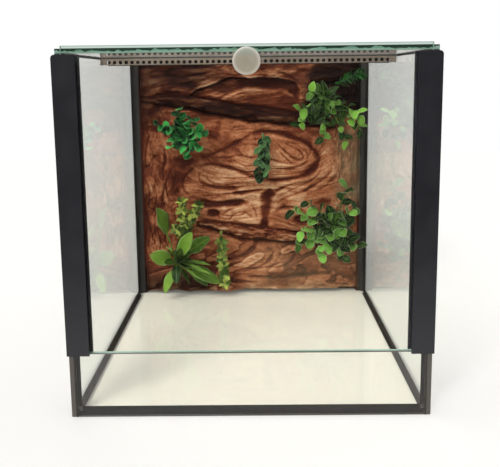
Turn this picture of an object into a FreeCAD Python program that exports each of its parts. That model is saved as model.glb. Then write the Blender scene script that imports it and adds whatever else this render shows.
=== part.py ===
"""Glass terrarium with a lifting glass door, a vent strip in its top and a planted rock background.

Frame: millimetres, +Z up, the door faces -Y, and the origin is the middle of the base pane's underside.
"""
import FreeCAD
import Part
import Sketcher
import math
import os
from FreeCAD import Placement, Rotation, Vector

doc = FreeCAD.newDocument("GlassTerrarium")
sheet = doc.addObject("Spreadsheet::Sheet", "Sizes")

# Driving dimensions, in millimetres, degrees or counts
SIZES = (
    ("tank_width", 300, "over the outer faces of the side panes"),
    ("tank_depth", 300, "from the sill's front face to the back pane's rear face"),
    ("side_height", 300, "height of the side and back panes"),
    ("glass", 4, "thickness of every pane"),
    ("seamed_edge", 0.4, "chamfer ground on the edges of every pane"),
    ("joint_gap", 0.8, "silicone between one pane and the next"),
    ("bead", 4.5, "leg of the silicone fillet in an inside corner"),
    ("sill_height", 56, "height of the fixed front strip"),
    ("sill_bead_drop", 3, "from the sill's top edge down to the end of its beads"),
    ("vent_front", 131, "from the sill's front face to the vent opening"),
    ("vent_opening", 20, "gap between the two top panes"),
    ("vent_overlap", 6, "width of vent strip bonded under each top pane"),
    ("vent_end_gap", 1, "from each end of the vent strip to the side pane"),
    ("vent_bead_gap", 1, "from the vent strip to the ends of the top beads"),
    ("sheet_metal", 1, "thickness of the vent strip"),
    ("vent_flange", 5, "height of its folded edges below the sheet"),
    ("hole_width", 3.6, "across the flats of a vent hole"),
    ("hole_pitch", 5.7, "from one vent hole to the next"),
    ("hole_rows", 3, "rows of holes in the sheet"),
    ("rail_face", 18.7, "width of a door rail seen from the front"),
    ("rail_wall", 1.4, "thickness of its front and rear flanges"),
    ("rail_wrap", 1.2, "thickness of the leg round the side pane"),
    ("rail_wrap_depth", 12, "length of that leg along the side pane"),
    ("rail_web", 1.2, "thickness of the web at the bottom of the slot"),
    ("rail_lip", 2, "how far the rear flange passes the front one"),
    ("rail_overlap", 1.6, "how far the front flange covers the sill"),
    ("rail_seat_gap", 0.2, "from the sill's top edge to the rear flange"),
    ("rail_corner", 3, "radius of the outer top corner"),
    ("slot_clearance", 0.3, "door pane to each flange"),
    ("door_side_gap", 0.6, "door pane to the bottom of each slot"),
    ("door_seat_gap", 0.3, "door pane to the sill's top edge"),
    ("door_rise", 2, "door's top edge above the top panes"),
    ("top_door_gap", 0.5, "top front pane to the door"),
    ("knob_drop", 13.5, "from the door's top edge to the knob's centre"),
    ("knob_head", 21.2, "diameter of the knob's head"),
    ("knob_neck", 14, "diameter of the knob's neck and of its pad"),
    ("knob_neck_height", 6, "from the pad to the head"),
    ("knob_head_height", 7, "thickness of the head"),
    ("knob_rim", 1.4, "chamfer round the head's front edge"),
    ("pad_thickness", 1, "adhesive pad under the knob"),
    ("rock_back_gap", 1, "silicone between the rock and the back pane"),
    ("rock_side_gap", 2, "rock to each side pane"),
    ("rock_top_gap", 3.8, "rock to the top panes"),
    ("rock_edge", 20, "thickness of the rock along its sides"),
    ("rock_relief", 8, "height of the carved forms"),
    ("root_radius", 8, "thick end of the carved roots"),
    ("seal_leg", 8, "leg of the seals beside the rock"),
    ("adhesive_width", 14, "strips of silicone behind the rock"),
    ("adhesive_spacing", 95, "from one strip to the next"),
    ("adhesive_margin", 25, "from the ends of the strips to the rock's edges"),
    ("crown_reach", 16, "plant crowns in front of the rock's edge"),
    ("peg_width", 4, "square plant pegs pressed into the rock"),
    ("peg_depth", 12, "how far a peg goes in"),
    ("peg_clearance", 0.2, "peg to the wall of its hole"),
    ("stem_diameter", 1.8, "plant stems"),
    ("leaf_thickness", 0.8, "moulded leaves"),
)
for row, (alias, value, note) in enumerate(SIZES, start=1):
    sheet.set(f"A{row}", note or alias.replace("_", " "))
    sheet.set(f"B{row}", str(value))
    sheet.setAlias(f"B{row}", alias)
doc.recompute()


class Length:
    """A length in millimetres together with the sheet expression that gives it."""

    def __init__(self, value, text):
        self.value = value
        self.text = text

    def __add__(self, other):
        return Length(self.value + other.value, f"({self.text} + {other.text})")

    def __sub__(self, other):
        return Length(self.value - other.value, f"({self.text} - {other.text})")

    def __neg__(self):
        return Length(-self.value, f"(-{self.text})")

    def __mul__(self, factor):
        return Length(self.value * factor, f"({self.text} * {factor})")


def size(alias):
    return Length(float(sheet.get(alias)), f"Sizes.{alias}")


# Planes that several pieces share
ZERO = Length(0.0, "0")
half_width = size("tank_width") * 0.5
half_depth = size("tank_depth") * 0.5
glass = size("glass")
gap = size("joint_gap")
bead = size("bead")
side_inner = half_width - glass
pane_end = side_inner - gap
sill_back = glass - half_depth
back_front = half_depth - glass
base_front = sill_back + gap
base_rear = back_front - gap
side_top = size("side_height")
top_under = side_top + gap
top_over = top_under + glass
sill_top = size("sill_height")
door_front = size("slot_clearance") - half_depth
door_rear = door_front + glass
door_top = top_over + size("door_rise")
top_front = door_rear + size("top_door_gap")
vent_gap_front = size("vent_front") - half_depth
vent_gap_rear = vent_gap_front + size("vent_opening")
vent_y0 = vent_gap_front - size("vent_overlap")
vent_y1 = vent_gap_rear + size("vent_overlap")
vent_end = side_inner - size("vent_end_gap")
slot_rear = door_rear + size("slot_clearance")
rail_rear = slot_rear + size("rail_wall")
rock_half = side_inner - size("rock_side_gap")
rock_back = back_front - size("rock_back_gap")
rock_front = rock_back - size("rock_edge")
rock_top = top_under - size("rock_top_gap")
seal_front = rock_front - size("seal_leg")

nodes = []


def place(piece, x, y, z):
    """Binds a piece's position to the sheet."""
    for axis, length in zip("xyz", (x, y, z)):
        piece.setExpression(f".Placement.Base.{axis}", length.text)


def block(name, low, high):
    """A box between two corners."""
    box = doc.addObject("Part::Box", name)
    place(box, *low)
    for side, a, b in zip(("Length", "Width", "Height"), low, high):
        box.setExpression(side, (b - a).text)
    return box


def glass_pane(name, low, high):
    """A cut pane with its edges seamed, so that it can be handled."""
    blank = block(name + "_blank", low, high)
    doc.recompute()
    pane = doc.addObject("Part::Chamfer", name)
    pane.Base = blank
    seam = size("seamed_edge").value
    pane.Edges = [(edge, seam, seam) for edge in range(1, len(blank.Shape.Edges) + 1)]
    nodes.append(pane)


def strip(name, low, high):
    """A flat film of silicone between two faces."""
    nodes.append(block(name, low, high))


def new_body(name):
    body = doc.addObject("PartDesign::Body", name)
    nodes.append(body)
    return body


def outline(body, name, role, level, corners, arcs=()):
    """A closed sketch, on the body's own plane moved to a level, through corners bound to the sheet.

    arcs maps the number of the corner where a round side starts to that side's centre and radius.
    """
    arcs = dict(arcs)
    sketch = body.newObject("Sketcher::SketchObject", name)
    origin_plane = next(f for f in body.Origin.OriginFeatures if f.Role == role)
    sketch.AttachmentSupport = [(origin_plane, "")]
    sketch.MapMode = "FlatFace"
    sketch.setExpression(".AttachmentOffset.Base.z", level.text)
    points = [Vector(x.value, y.value, 0) for x, y in corners]
    ends = []
    for number, start in enumerate(points):
        finish = points[(number + 1) % len(points)]
        if number not in arcs:
            side = sketch.addGeometry(Part.LineSegment(start, finish), False)
            ends.append((side, 1, 2))
            continue
        (centre_x, centre_y), radius = arcs[number]
        centre = Vector(centre_x.value, centre_y.value, 0)
        first = math.atan2(start.y - centre.y, start.x - centre.x)
        last = math.atan2(finish.y - centre.y, finish.x - centre.x)
        forward = (last - first) % (2 * math.pi) < math.pi
        if not forward:
            first, last = last, first
        circle = Part.Circle(centre, Vector(0, 0, 1), radius.value)
        side = sketch.addGeometry(Part.ArcOfCircle(circle, first, last), False)
        ends.append((side, 1, 2) if forward else (side, 2, 1))
        constraint = sketch.addConstraint(Sketcher.Constraint("Radius", side, radius.value))
        sketch.setExpression(f"Constraints[{constraint}]", radius.text)
    for number, (x, y) in enumerate(corners):
        side, start, _ = ends[number]
        before, _, finish = ends[number - 1]
        sketch.addConstraint(Sketcher.Constraint("Coincident", before, finish, side, start))
        for kind, axis, length in (("DistanceX", -2, x), ("DistanceY", -1, y)):
            if length is ZERO:
                sketch.addConstraint(Sketcher.Constraint("PointOnObject", side, start, axis))
                continue
            rule = Sketcher.Constraint(kind, -1, 1, side, start, length.value)
            constraint = sketch.addConstraint(rule)
            sketch.setExpression(f"Constraints[{constraint}]", length.text)
    return sketch


def pad(body, sketch, length):
    feature = body.newObject("PartDesign::Pad", sketch.Name + "_pad")
    feature.Profile = sketch
    feature.setExpression("Length", length.text)
    body.Tip = feature
    return feature


def pad_along_y(body, name, y0, y1, corners, arcs=()):
    """A section drawn in X and Z, run from y0 to y1."""
    pad(body, outline(body, name, "XZ_Plane", -y1, corners, arcs), y1 - y0)


def pad_along_x(body, name, x0, x1, corners, arcs=()):
    """A section drawn in Y and Z, run from x0 to x1."""
    pad(body, outline(body, name, "YZ_Plane", x0, corners, arcs), x1 - x0)


def pad_along_z(body, name, z0, z1, corners, arcs=()):
    """A section drawn in X and Y, run from z0 to z1."""
    pad(body, outline(body, name, "XY_Plane", z0, corners, arcs), z1 - z0)


def rectangle(a0, b0, a1, b1):
    return ((a0, b0), (a1, b0), (a1, b1), (a0, b1))


SIDES = (("left", -1), ("right", 1))

# Fixed panes: the base and the back stand between the two sides, and the sill closes the front
glass_pane("base_pane", (-pane_end, base_front, ZERO), (pane_end, base_rear, glass))
glass_pane("left_side_pane", (-half_width, -half_depth, ZERO), (-side_inner, half_depth, side_top))
glass_pane("right_side_pane", (side_inner, -half_depth, ZERO), (half_width, half_depth, side_top))
glass_pane("back_pane", (-pane_end, back_front, ZERO), (pane_end, half_depth, side_top))
glass_pane("front_sill_pane", (-pane_end, -half_depth, ZERO), (pane_end, sill_back, sill_top))

# Top panes: they lie on the sides and leave the vent opening between them
glass_pane("top_front_pane", (-half_width, top_front, top_under), (half_width, vent_gap_front, top_over))
glass_pane("top_rear_pane", (-half_width, vent_gap_rear, top_under), (half_width, half_depth, top_over))

# Base seams: silicone in the joint, with a concave fillet above the base pane
for side, sign in SIDES:
    seam = new_body(f"base_{side}_seam")
    wall = side_inner * sign
    edge = pane_end * sign
    toe = (side_inner - bead) * sign
    crest = glass + bead
    section = ((wall, ZERO), (edge, ZERO), (edge, glass), (toe, glass), (wall, crest))
    pad_along_y(seam, f"base_{side}_bead", sill_back, seal_front, section, {3: ((toe, crest), bead)})
    film = rectangle(wall, ZERO, edge, glass)
    pad_along_y(seam, f"base_{side}_film", seal_front, back_front, film)

front_seam = new_body("base_front_seam")
pad_along_x(front_seam, "base_front_film", -pane_end, pane_end,
            rectangle(sill_back, ZERO, base_front, glass))
front_toe = sill_back + bead
front_crest = glass + bead
pad_along_x(front_seam, "base_front_bead", bead - side_inner, side_inner - bead,
            ((sill_back, glass), (front_toe, glass), (sill_back, front_crest)),
            {1: ((front_toe, front_crest), bead)})
strip("base_back_seam", (-pane_end, base_rear, ZERO), (pane_end, back_front, glass))

# Upright seams at the ends of the sill and at the rear corners
for side, sign in SIDES:
    seam = new_body(f"sill_{side}_seam")
    wall = side_inner * sign
    edge = pane_end * sign
    toe = (side_inner - bead) * sign
    pad_along_z(seam, f"sill_{side}_film", ZERO, sill_top,
                rectangle(wall, -half_depth, edge, sill_back))
    pad_along_z(seam, f"sill_{side}_bead", glass + bead, sill_top - size("sill_bead_drop"),
                ((wall, sill_back), (toe, sill_back), (wall, front_toe)),
                {1: ((toe, front_toe), bead)})
    corner = sorted((wall, edge), key=lambda length: length.value)
    strip(f"rear_{side}_seam", (corner[0], back_front, ZERO), (corner[1], half_depth, side_top))

# Top seams: a film on the top edge of each side pane, with a fillet under the top pane
bead_gap = size("vent_bead_gap")
top_runs = (
    ("front", top_front, rail_rear + bead_gap, vent_y0 - bead_gap, vent_gap_front),
    ("rear", vent_gap_rear, vent_y1 + bead_gap, seal_front - bead_gap, half_depth),
)
for where, film_start, bead_start, bead_end, film_end in top_runs:
    for side, sign in SIDES:
        seam = new_body(f"top_{where}_{side}_seam")
        outer = half_width * sign
        wall = side_inner * sign
        toe = (side_inner - bead) * sign
        low = top_under - bead
        film = rectangle(wall, side_top, outer, top_under)
        pad_along_y(seam, f"top_{where}_{side}_film", film_start, film_end, film)
        section = ((wall, top_under), (toe, top_under), (wall, low))
        pad_along_y(seam, f"top_{where}_{side}_bead", bead_start, bead_end, section,
                    {1: ((toe, low), bead)})
strip("top_back_seam", (-side_inner, back_front, side_top), (side_inner, half_depth, top_under))

# Vent strip: one sheet of perforated metal with both long edges folded down, bonded under the top panes
bond_low = top_under - gap
strip("vent_front_bond", (-vent_end, vent_y0, bond_low), (vent_end, vent_gap_front, top_under))
strip("vent_rear_bond", (-vent_end, vent_gap_rear, bond_low), (vent_end, vent_y1, top_under))


def holed_sheet(corner, along, across, thickness, rows):
    """A flat sheet from a corner, with staggered rows of six-sided holes centred on it."""
    pitch = size("hole_pitch").value
    reach = size("hole_width").value / math.sqrt(3)
    normal = along.cross(across).normalize()
    u = Vector(along).normalize()
    v = Vector(across).normalize()
    border = [corner, corner + along, corner + along + across, corner + across, corner]
    wires = [Part.makePolygon(border)]
    count = int((along.Length - pitch) // pitch)
    for row in range(rows):
        columns = count - row % 2
        lift = (row - (rows - 1) / 2) * pitch * math.sin(math.pi / 3)
        for column in range(columns):
            shift = (column - (columns - 1) / 2) * pitch
            middle = corner + along * 0.5 + across * 0.5 + u * shift + v * lift
            turns = [math.pi / 6 + k * math.pi / 3 for k in range(7)]
            ring = [middle + u * (reach * math.cos(a)) + v * (reach * math.sin(a)) for a in turns]
            wires.append(Part.makePolygon(ring))
    return Part.Face(wires, "Part::FaceMakerBullseye").extrude(normal * thickness)


sheet_metal = size("sheet_metal").value
vent_length = Vector(2 * vent_end.value, 0, 0)
flange_drop = Vector(0, 0, size("vent_flange").value)
sheet_low = Vector(-vent_end.value, vent_y0.value, bond_low.value - sheet_metal)
flange_low = sheet_low - flange_drop
vent_width = Vector(0, vent_y1.value - vent_y0.value, 0)
vent_sheet = holed_sheet(sheet_low, vent_length, vent_width, sheet_metal, int(size("hole_rows").value))
front_flange = holed_sheet(flange_low + Vector(0, sheet_metal, 0), vent_length, flange_drop, sheet_metal, 1)
rear_flange = Part.makeBox(vent_length.x, sheet_metal, flange_drop.z,
                           flange_low + vent_width - Vector(0, sheet_metal, 0))
vent_strip = doc.addObject("Part::Feature", "vent_strip")
vent_strip.Shape = vent_sheet.fuse([front_flange, rear_flange]).removeSplitter()
nodes.append(vent_strip)

# Door rails: a channel that hooks round the side pane's front edge and holds the door's edge in a slot
rail_bottom = sill_top - size("rail_overlap")
slot_bottom = sill_top + size("rail_seat_gap")
face_front = -half_depth - size("rail_wall")
rail_outer = half_width + size("rail_wrap")
face_inner = rail_outer - size("rail_face")
lip_inner = face_inner - size("rail_lip")
web_inner = side_inner - size("rail_web")
wrap_rear = size("rail_wrap_depth") - half_depth
for side, sign in SIDES:
    rail = new_body(f"{side}_door_rail")
    hook = (
        (rail_outer * sign, face_front), (face_inner * sign, face_front),
        (face_inner * sign, -half_depth), (half_width * sign, -half_depth),
        (half_width * sign, wrap_rear), (rail_outer * sign, wrap_rear),
    )
    pad_along_z(rail, f"{side}_rail_hook", rail_bottom, side_top, hook)
    slot = (
        (side_inner * sign, -half_depth), (side_inner * sign, rail_rear),
        (lip_inner * sign, rail_rear), (lip_inner * sign, slot_rear),
        (web_inner * sign, slot_rear), (web_inner * sign, -half_depth),
    )
    pad_along_z(rail, f"{side}_rail_slot", slot_bottom, side_top, slot)
    turn = size("rail_corner")
    corner_x = rail_outer * sign
    turn_x = (rail_outer - turn) * sign
    cut = outline(rail, f"{side}_rail_corner", "XZ_Plane", -wrap_rear,
                  ((corner_x, side_top), (turn_x, side_top), (corner_x, side_top - turn)),
                  {1: ((turn_x, side_top - turn), turn)})
    pocket = rail.newObject("PartDesign::Pocket", f"{side}_rail_corner_cut")
    pocket.Profile = cut
    pocket.Reversed = True
    pocket.setExpression("Length", (wrap_rear - face_front).text)
    rail.Tip = pocket

# Door: a pane that stands on the sill, runs in the two slots and lifts out at the top
door_side = web_inner - size("door_side_gap")
door_foot = sill_top + size("door_seat_gap")
glass_pane("door_pane", (-door_side, door_front, door_foot), (door_side, door_rear, door_top))

# Knob: turned from translucent plastic and stuck to the door with a round pad
knob_z = door_top - size("knob_drop")
knob_pad = doc.addObject("Part::Cylinder", "knob_pad")
knob_pad.setExpression("Radius", (size("knob_neck") * 0.5).text)
knob_pad.setExpression("Height", size("pad_thickness").text)
knob_pad.Placement.Rotation = Rotation(Vector(1, 0, 0), 90)
place(knob_pad, ZERO, door_front, knob_z)
nodes.append(knob_pad)

knob = new_body("door_knob")
neck = size("knob_neck") * 0.5
head = size("knob_head") * 0.5
neck_top = size("knob_neck_height")
head_top = neck_top + size("knob_head_height")
rim = size("knob_rim")
knob_section = outline(knob, "knob_section", "XY_Plane", ZERO, (
    (ZERO, ZERO), (neck, ZERO), (neck, neck_top), (head, neck_top),
    (head, head_top - rim), (head - rim, head_top), (ZERO, head_top),
))
turning = knob.newObject("PartDesign::Revolution", "knob_turning")
turning.Profile = knob_section
turning.ReferenceAxis = (knob_section, ["V_Axis"])
turning.Angle = 360
knob.Tip = turning
knob.Placement.Rotation = Rotation(Vector(0, 0, 1), 180)
place(knob, ZERO, door_front - size("pad_thickness"), knob_z)

# Plants: each is one moulding, a peg with stems that carry leaves
# A leaf kind gives its length, its width and its half outline as shares of them, from stalk to tip
GOLDEN_ANGLE = math.radians(137.5)
BROAD = ((0, 0.08), (0.3, 0.46), (0.68, 0.42), (1, 0.04))
OVATE = ((0, 0.14), (0.5, 0.5), (1, 0.12))
KITE = ((0, 0), (0.42, 0.5), (1, 0))
LEAVES = {
    "round": (12, 11, OVATE),
    "ivy": (11, 8, KITE),
    "pointed": (13, 7.5, KITE),
    "fern": (9, 3.6, KITE),
    "oval": (15, 10.5, OVATE),
    "floret": (7, 4.5, KITE),
}
# A plant gives its crown's place, its leaf kind, the leaves on each stem and the tips of its stems
# A crown is placed from a side or the middle of the rock, and from its top or its foot
# A tip is so far right of its crown and above it, and reaches so far in front of the rock's edge
PLANTS = {
    "round_leaf_plant": (("left", 62), ("top", -85), "round", 3, (
        (-6, 20, 26), (16, 16, 28), (26, 0, 26), (20, -16, 30), (6, -25, 28), (-12, -18, 26), (-28, 6, 22))),
    "hanging_sprig": (("middle", 16), ("top", -94), "ivy", 11, ((-4, -48, 24),)),
    "pointed_leaf_sprigs": (("right", -52), ("top", -43), "pointed", 4, (
        (-34, -32, 32), (-32, -13, 38), (-20, 8, 30), (0, -52, 34), (26, -52, 30), (40, -32, 36), (30, -8, 42))),
    "fern_sprig": (("right", -36), ("top", -25), "fern", 9, ((28, 11, 24),)),
    "variegated_bush": (("right", -40), ("foot", 92), "oval", 3, (
        (-34, 32, 28), (8, 42, 30), (-52, 21, 24), (-42, -4, 30), (-46, -22, 24), (-20, -32, 32),
        (24, 24, 28), (24, -22, 38), (8, -38, 30))),
    "floret_spray": (("left", 60), ("foot", 80), "floret", 5, ((-6, 42, 26), (19, 38, 24), (-11, 16, 20))),
    "floret_trail": (("left", 106), ("foot", 82), "floret", 9, ((5, -64, 22),)),
}
# The broad-leaved plant: each leaf springs from the crown to a tip, and has its own width
BROAD_CROWN = (("left", 49), ("foot", 48))
BROAD_LEAVES = (
    (-13, 60, 30, 14), (-23, 18, 36, 13), (-8, -32, 34, 12), (16, 38, 44, 12), (44, 34, 34, 13),
    (45, 2, 40, 5), (45, -9, 32, 5), (48, -24, 26, 6),
)
BROAD_STALK = 0.25
STALK_OVERLAP = 0.15


def crown_place(side, level):
    """A crown in front of the rock, placed from the edges that it names."""
    edges = {"left": -rock_half, "middle": ZERO, "right": rock_half, "foot": glass, "top": rock_top}
    x, z = (edges[edge].value + distance for edge, distance in (side, level))
    return Vector(x, (rock_front - size("crown_reach")).value, z)


def tip_place(crown, right, up, reach):
    return Vector(crown.x + right, rock_front.value - reach, crown.z + up)


def leaf(base, direction, length, width, half):
    """A flat moulded leaf that turns its face to the door and up."""
    along = Vector(direction).normalize()
    light = Vector(0, -0.8, 0.6)
    face = (light - along * light.dot(along)).normalize()
    across = along.cross(face)
    ring = [base + along * (a * length) + across * (b * width) for a, b in half]
    ring += [base + along * (a * length) - across * (b * width) for a, b in reversed(half) if b]
    blade = Part.Face(Part.makePolygon(ring + ring[:1]))
    thickness = size("leaf_thickness").value
    blade.translate(face * (-thickness / 2))
    return blade.extrude(face * thickness)


def stem(start, finish):
    """A square moulded stem."""
    run = finish - start
    across = run.cross(Vector(0, 1, 0)).normalize() * (size("stem_diameter").value / 2)
    up = run.cross(across).normalize() * across.Length
    ring = [start + across, start + up, start - across, start - up]
    return Part.Face(Part.makePolygon(ring + ring[:1])).extrude(run)


def peg(crown, clearance):
    """The square peg behind a crown, or with some clearance the hole for it."""
    half = size("peg_width").value / 2 + clearance
    depth = rock_front.value + size("peg_depth").value + clearance - crown.y
    return Part.makeBox(2 * half, depth, 2 * half, crown - Vector(half, 0, half))


def stem_leaves(start, finish, kind, count):
    """Leaves set round a stem by the golden angle, none of them turned into the rock."""
    axis = (finish - start).normalize()
    across = axis.cross(Vector(0, 1, 0)).normalize()
    forward = across.cross(axis)
    for number in range(count):
        base = start + (finish - start) * ((number + 1.4) / (count + 0.4))
        turn = number * GOLDEN_ANGLE
        around = across * math.cos(turn) - forward * abs(math.sin(turn))
        yield leaf(base, axis * 0.55 + around * 0.8, *LEAVES[kind])


crowns = []


def plant(name, crown, pieces):
    crowns.append(crown)
    moulding = doc.addObject("Part::Feature", name)
    moulding.Shape = peg(crown, 0).fuse(pieces)
    nodes.append(moulding)


for name, (side, level, kind, count, tips) in PLANTS.items():
    crown = crown_place(side, level)
    start = crown + Vector(0, 1, 0)
    pieces = []
    for tip in tips:
        finish = tip_place(crown, *tip)
        pieces.append(stem(start, finish))
        pieces += stem_leaves(start, finish, kind, count)
    plant(name, crown, pieces)
broad_crown = crown_place(*BROAD_CROWN)
blades = []
for right, up, reach, width in BROAD_LEAVES:
    start = broad_crown + Vector(0, 1, 0)
    run = tip_place(broad_crown, right, up, reach) - start
    blades.append(stem(start, start + run * (BROAD_STALK + STALK_OVERLAP)))
    blades.append(leaf(start + run * BROAD_STALK, run, run.Length * (1 - BROAD_STALK), width, BROAD))
plant("broad_leaf_plant", broad_crown, blades)

# Rock background: carved foam. Broad forms rise from it and two roots cross it
# Places and lengths are shares of the rock's half width and of its height
# A form gives its centre, its half width and half height, and its share of the relief
ROCK_FORMS = (
    (-0.78, 0.5, 0.24, 0.4, 0.55),
    (0.28, 0.59, 0.42, 0.11, 0.8),
    (-0.21, 0.5, 0.42, 0.09, 0.7),
    (0, 0.9, 0.62, 0.07, 0.9),
    (0.76, 0.57, 0.24, 0.3, 0.6),
    (-0.07, 0.34, 0.56, 0.07, 0.6),
    (-0.07, 0.07, 1.04, 0.1, 0.9),
)
# A root gives points, with its radius there as a share of the thick end
ROOTS = (
    ((-0.86, 0.84, 0.35), (-0.64, 0.83, 0.8), (-0.38, 0.8, 0.95), (-0.04, 0.77, 1), (0.35, 0.74, 0.9),
     (0.75, 0.69, 0.3)),
    ((-0.56, 0.32, 0.35), (-0.28, 0.29, 0.9), (0.06, 0.26, 1), (0.44, 0.235, 0.9), (0.64, 0.225, 0.3)),
)
ROOT_SIDES = 6
ROCK_STEPS = 17


def on_rock(across, up):
    """The real place of a pair of shares."""
    return across * rock_half.value, glass.value + up * (rock_top - glass).value


def rock_face(x, z):
    """The carved face: how far back the rock stands at x and z."""
    across = x / rock_half.value
    up = (z - glass.value) / (rock_top - glass).value
    rise = sum(share * math.exp(-((across - a) / w) ** 2 - ((up - b) / h) ** 2)
               for a, b, w, h, share in ROCK_FORMS)
    return rock_front.value - size("rock_relief").value * rise


def rock_carving():
    """A loft up the rock, from side pane to side pane, through one carved section at each level."""
    rear = half_depth.value
    steps = [k / (ROCK_STEPS - 1) for k in range(ROCK_STEPS)]
    columns = [side_inner.value * (2 * share - 1) for share in steps]
    sections = []
    for share in steps:
        z = top_under.value * share
        ring = [Vector(x, rock_face(x, z), z) for x in columns]
        ring += [Vector(columns[-1], rear, z), Vector(columns[0], rear, z)]
        sections.append(Part.makePolygon(ring + ring[:1]))
    return Part.makeLoft(sections, True, True)


def root(points):
    """A tapering carved root, half sunk in the rock's face."""
    sections = []
    spine = []
    for across, up, _ in points:
        x, z = on_rock(across, up)
        spine.append(Vector(x, rock_face(x, z), z))
    for number, (_, _, share) in enumerate(points):
        run = spine[min(number + 1, len(spine) - 1)] - spine[max(number - 1, 0)]
        across = run.cross(Vector(0, 1, 0)).normalize()
        up = run.cross(across).normalize()
        radius = size("root_radius").value * share
        turns = [2 * math.pi * k / ROOT_SIDES for k in range(ROOT_SIDES + 1)]
        ring = [spine[number] + across * (radius * math.cos(a)) + up * (radius * math.sin(a)) for a in turns]
        sections.append(Part.makePolygon(ring))
    return Part.makeLoft(sections, True, True)


seal_toe = side_inner - size("seal_leg")
rock_blank = block("rock_blank", (-rock_half, -half_depth, glass), (rock_half, rock_back, rock_top))
carving = doc.addObject("Part::Feature", "rock_carving")
carving.Shape = rock_carving()
rock_relief = doc.addObject("Part::Common", "rock_relief")
rock_relief.Base = rock_blank
rock_relief.Tool = carving
rock_roots = doc.addObject("Part::Feature", "rock_roots")
rock_roots.Shape = Part.makeCompound([root(points) for points in ROOTS])
rock_rooted = doc.addObject("Part::Fuse", "rock_rooted")
rock_rooted.Base = rock_relief
rock_rooted.Tool = rock_roots
peg_holes = doc.addObject("Part::Feature", "peg_holes")
peg_holes.Shape = Part.makeCompound([peg(crown, size("peg_clearance").value) for crown in crowns])
left_rebate = block("rock_left_rebate", (-half_width, -half_depth, -glass), (-seal_toe, rock_front, top_over))
right_rebate = block("rock_right_rebate", (seal_toe, -half_depth, -glass), (half_width, rock_front, top_over))
rock_cuts = doc.addObject("Part::Compound", "rock_cuts")
rock_cuts.Links = [peg_holes, left_rebate, right_rebate]
rock = doc.addObject("Part::Cut", "rock_background")
rock.Base = rock_rooted
rock.Tool = rock_cuts
nodes.append(rock)

# Seals in the corners beside the rock, and the strips of silicone behind it
for side, sign in SIDES:
    seal = new_body(f"rock_{side}_seal")
    wall = side_inner * sign
    toe = seal_toe * sign
    pad_along_z(seal, f"rock_{side}_seal_section", glass, rock_top,
                ((wall, rock_front), (toe, rock_front), (wall, seal_front)),
                {1: ((toe, seal_front), size("seal_leg"))})
strips = []
strip_half = size("adhesive_width") * 0.5
strip_low = glass + size("adhesive_margin")
strip_high = rock_top - size("adhesive_margin")
for column in (-1, 0, 1):
    centre = size("adhesive_spacing") * column
    strips.append(block(f"rock_adhesive_{column + 2}", (centre - strip_half, rock_back, strip_low),
                        (centre + strip_half, back_front, strip_high)))
rock_adhesive = doc.addObject("Part::Compound", "rock_adhesive")
rock_adhesive.Links = strips
nodes.append(rock_adhesive)

doc.recompute()
for thing in doc.Objects:
    if "Invalid" in thing.State or "Error" in thing.State:
        raise RuntimeError(f"{thing.Name} failed: {thing.State}")
for node in nodes:
    if node.Shape.isNull() or not node.Shape.isValid() or not node.Shape.Solids:
        raise RuntimeError(f"{node.Name} has no valid solid")
os.makedirs("parts", exist_ok=True)
for node in nodes:
    node.Label = node.Name
    node.Shape.exportStep(f"parts/{node.Label}.step")
print(len(nodes), "nodes written")
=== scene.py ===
"""Looks of a glass terrarium with a lifting door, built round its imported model.

Everything is in metres in the model's own frame: +Z up, the door faces -Y, the base stands at Z = 0.
"""
import math

import bpy
import numpy as np
from mathutils import Matrix, Vector


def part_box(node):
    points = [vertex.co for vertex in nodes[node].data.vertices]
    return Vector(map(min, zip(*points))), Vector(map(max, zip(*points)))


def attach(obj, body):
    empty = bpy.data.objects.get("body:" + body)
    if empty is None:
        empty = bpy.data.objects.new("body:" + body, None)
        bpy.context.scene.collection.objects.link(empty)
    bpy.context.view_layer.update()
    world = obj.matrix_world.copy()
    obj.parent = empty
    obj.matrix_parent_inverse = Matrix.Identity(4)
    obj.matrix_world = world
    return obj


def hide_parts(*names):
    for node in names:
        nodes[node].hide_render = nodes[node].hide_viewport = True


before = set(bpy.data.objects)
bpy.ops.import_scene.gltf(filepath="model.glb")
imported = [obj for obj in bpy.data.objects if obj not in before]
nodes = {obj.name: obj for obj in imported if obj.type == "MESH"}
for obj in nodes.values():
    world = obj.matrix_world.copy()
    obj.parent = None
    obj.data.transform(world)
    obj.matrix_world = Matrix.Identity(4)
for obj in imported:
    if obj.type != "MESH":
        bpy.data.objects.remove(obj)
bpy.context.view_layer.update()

# Fixed panes: clear float glass, cut to size, seamed along the edges and stood together as a box.
# A pane hardly shows face on and mirrors what is round it at a low angle. The top panes and the door are
# green at their edges, and the other edges are dull, with dark silicone behind them.
# Along the top panes' edges, a row of dark marks is a painted reflection of the vent's holes.
MM = 0.001
GLASS_IOR = 1.52
CLEAN_GLARE = (1, 1, 1, 1)
HALF_GLARE = (0.25, 0.25, 0.25, 1)
LOW_GLARE = (0.1, 0.1, 0.1, 1)
FLOAT_GLASS = "#f8f9f6"
GLASS_ON_CREAM = "#f8f6f1"
TOP_EDGE = "#a4c7b6"
TOP_EDGE_HOLE_REFLECTION = "#1b3a2c"
LOWER_EDGE = "#5d574f"
EDGE_TURN = 0.9
EDGE_MATT = 0.3
EDGE_CLEAR = 0.3
SMEAR_SPOT, SMEAR_MATT = 60, 0.03
HOLE_REFLECTION_LENGTH, HOLE_REFLECTION_LEAST, HOLE_REFLECTION_MOST = 7, 0.25, 0.9
TINT_FROM, TINT_FULL = 0.976, 0.985
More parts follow.
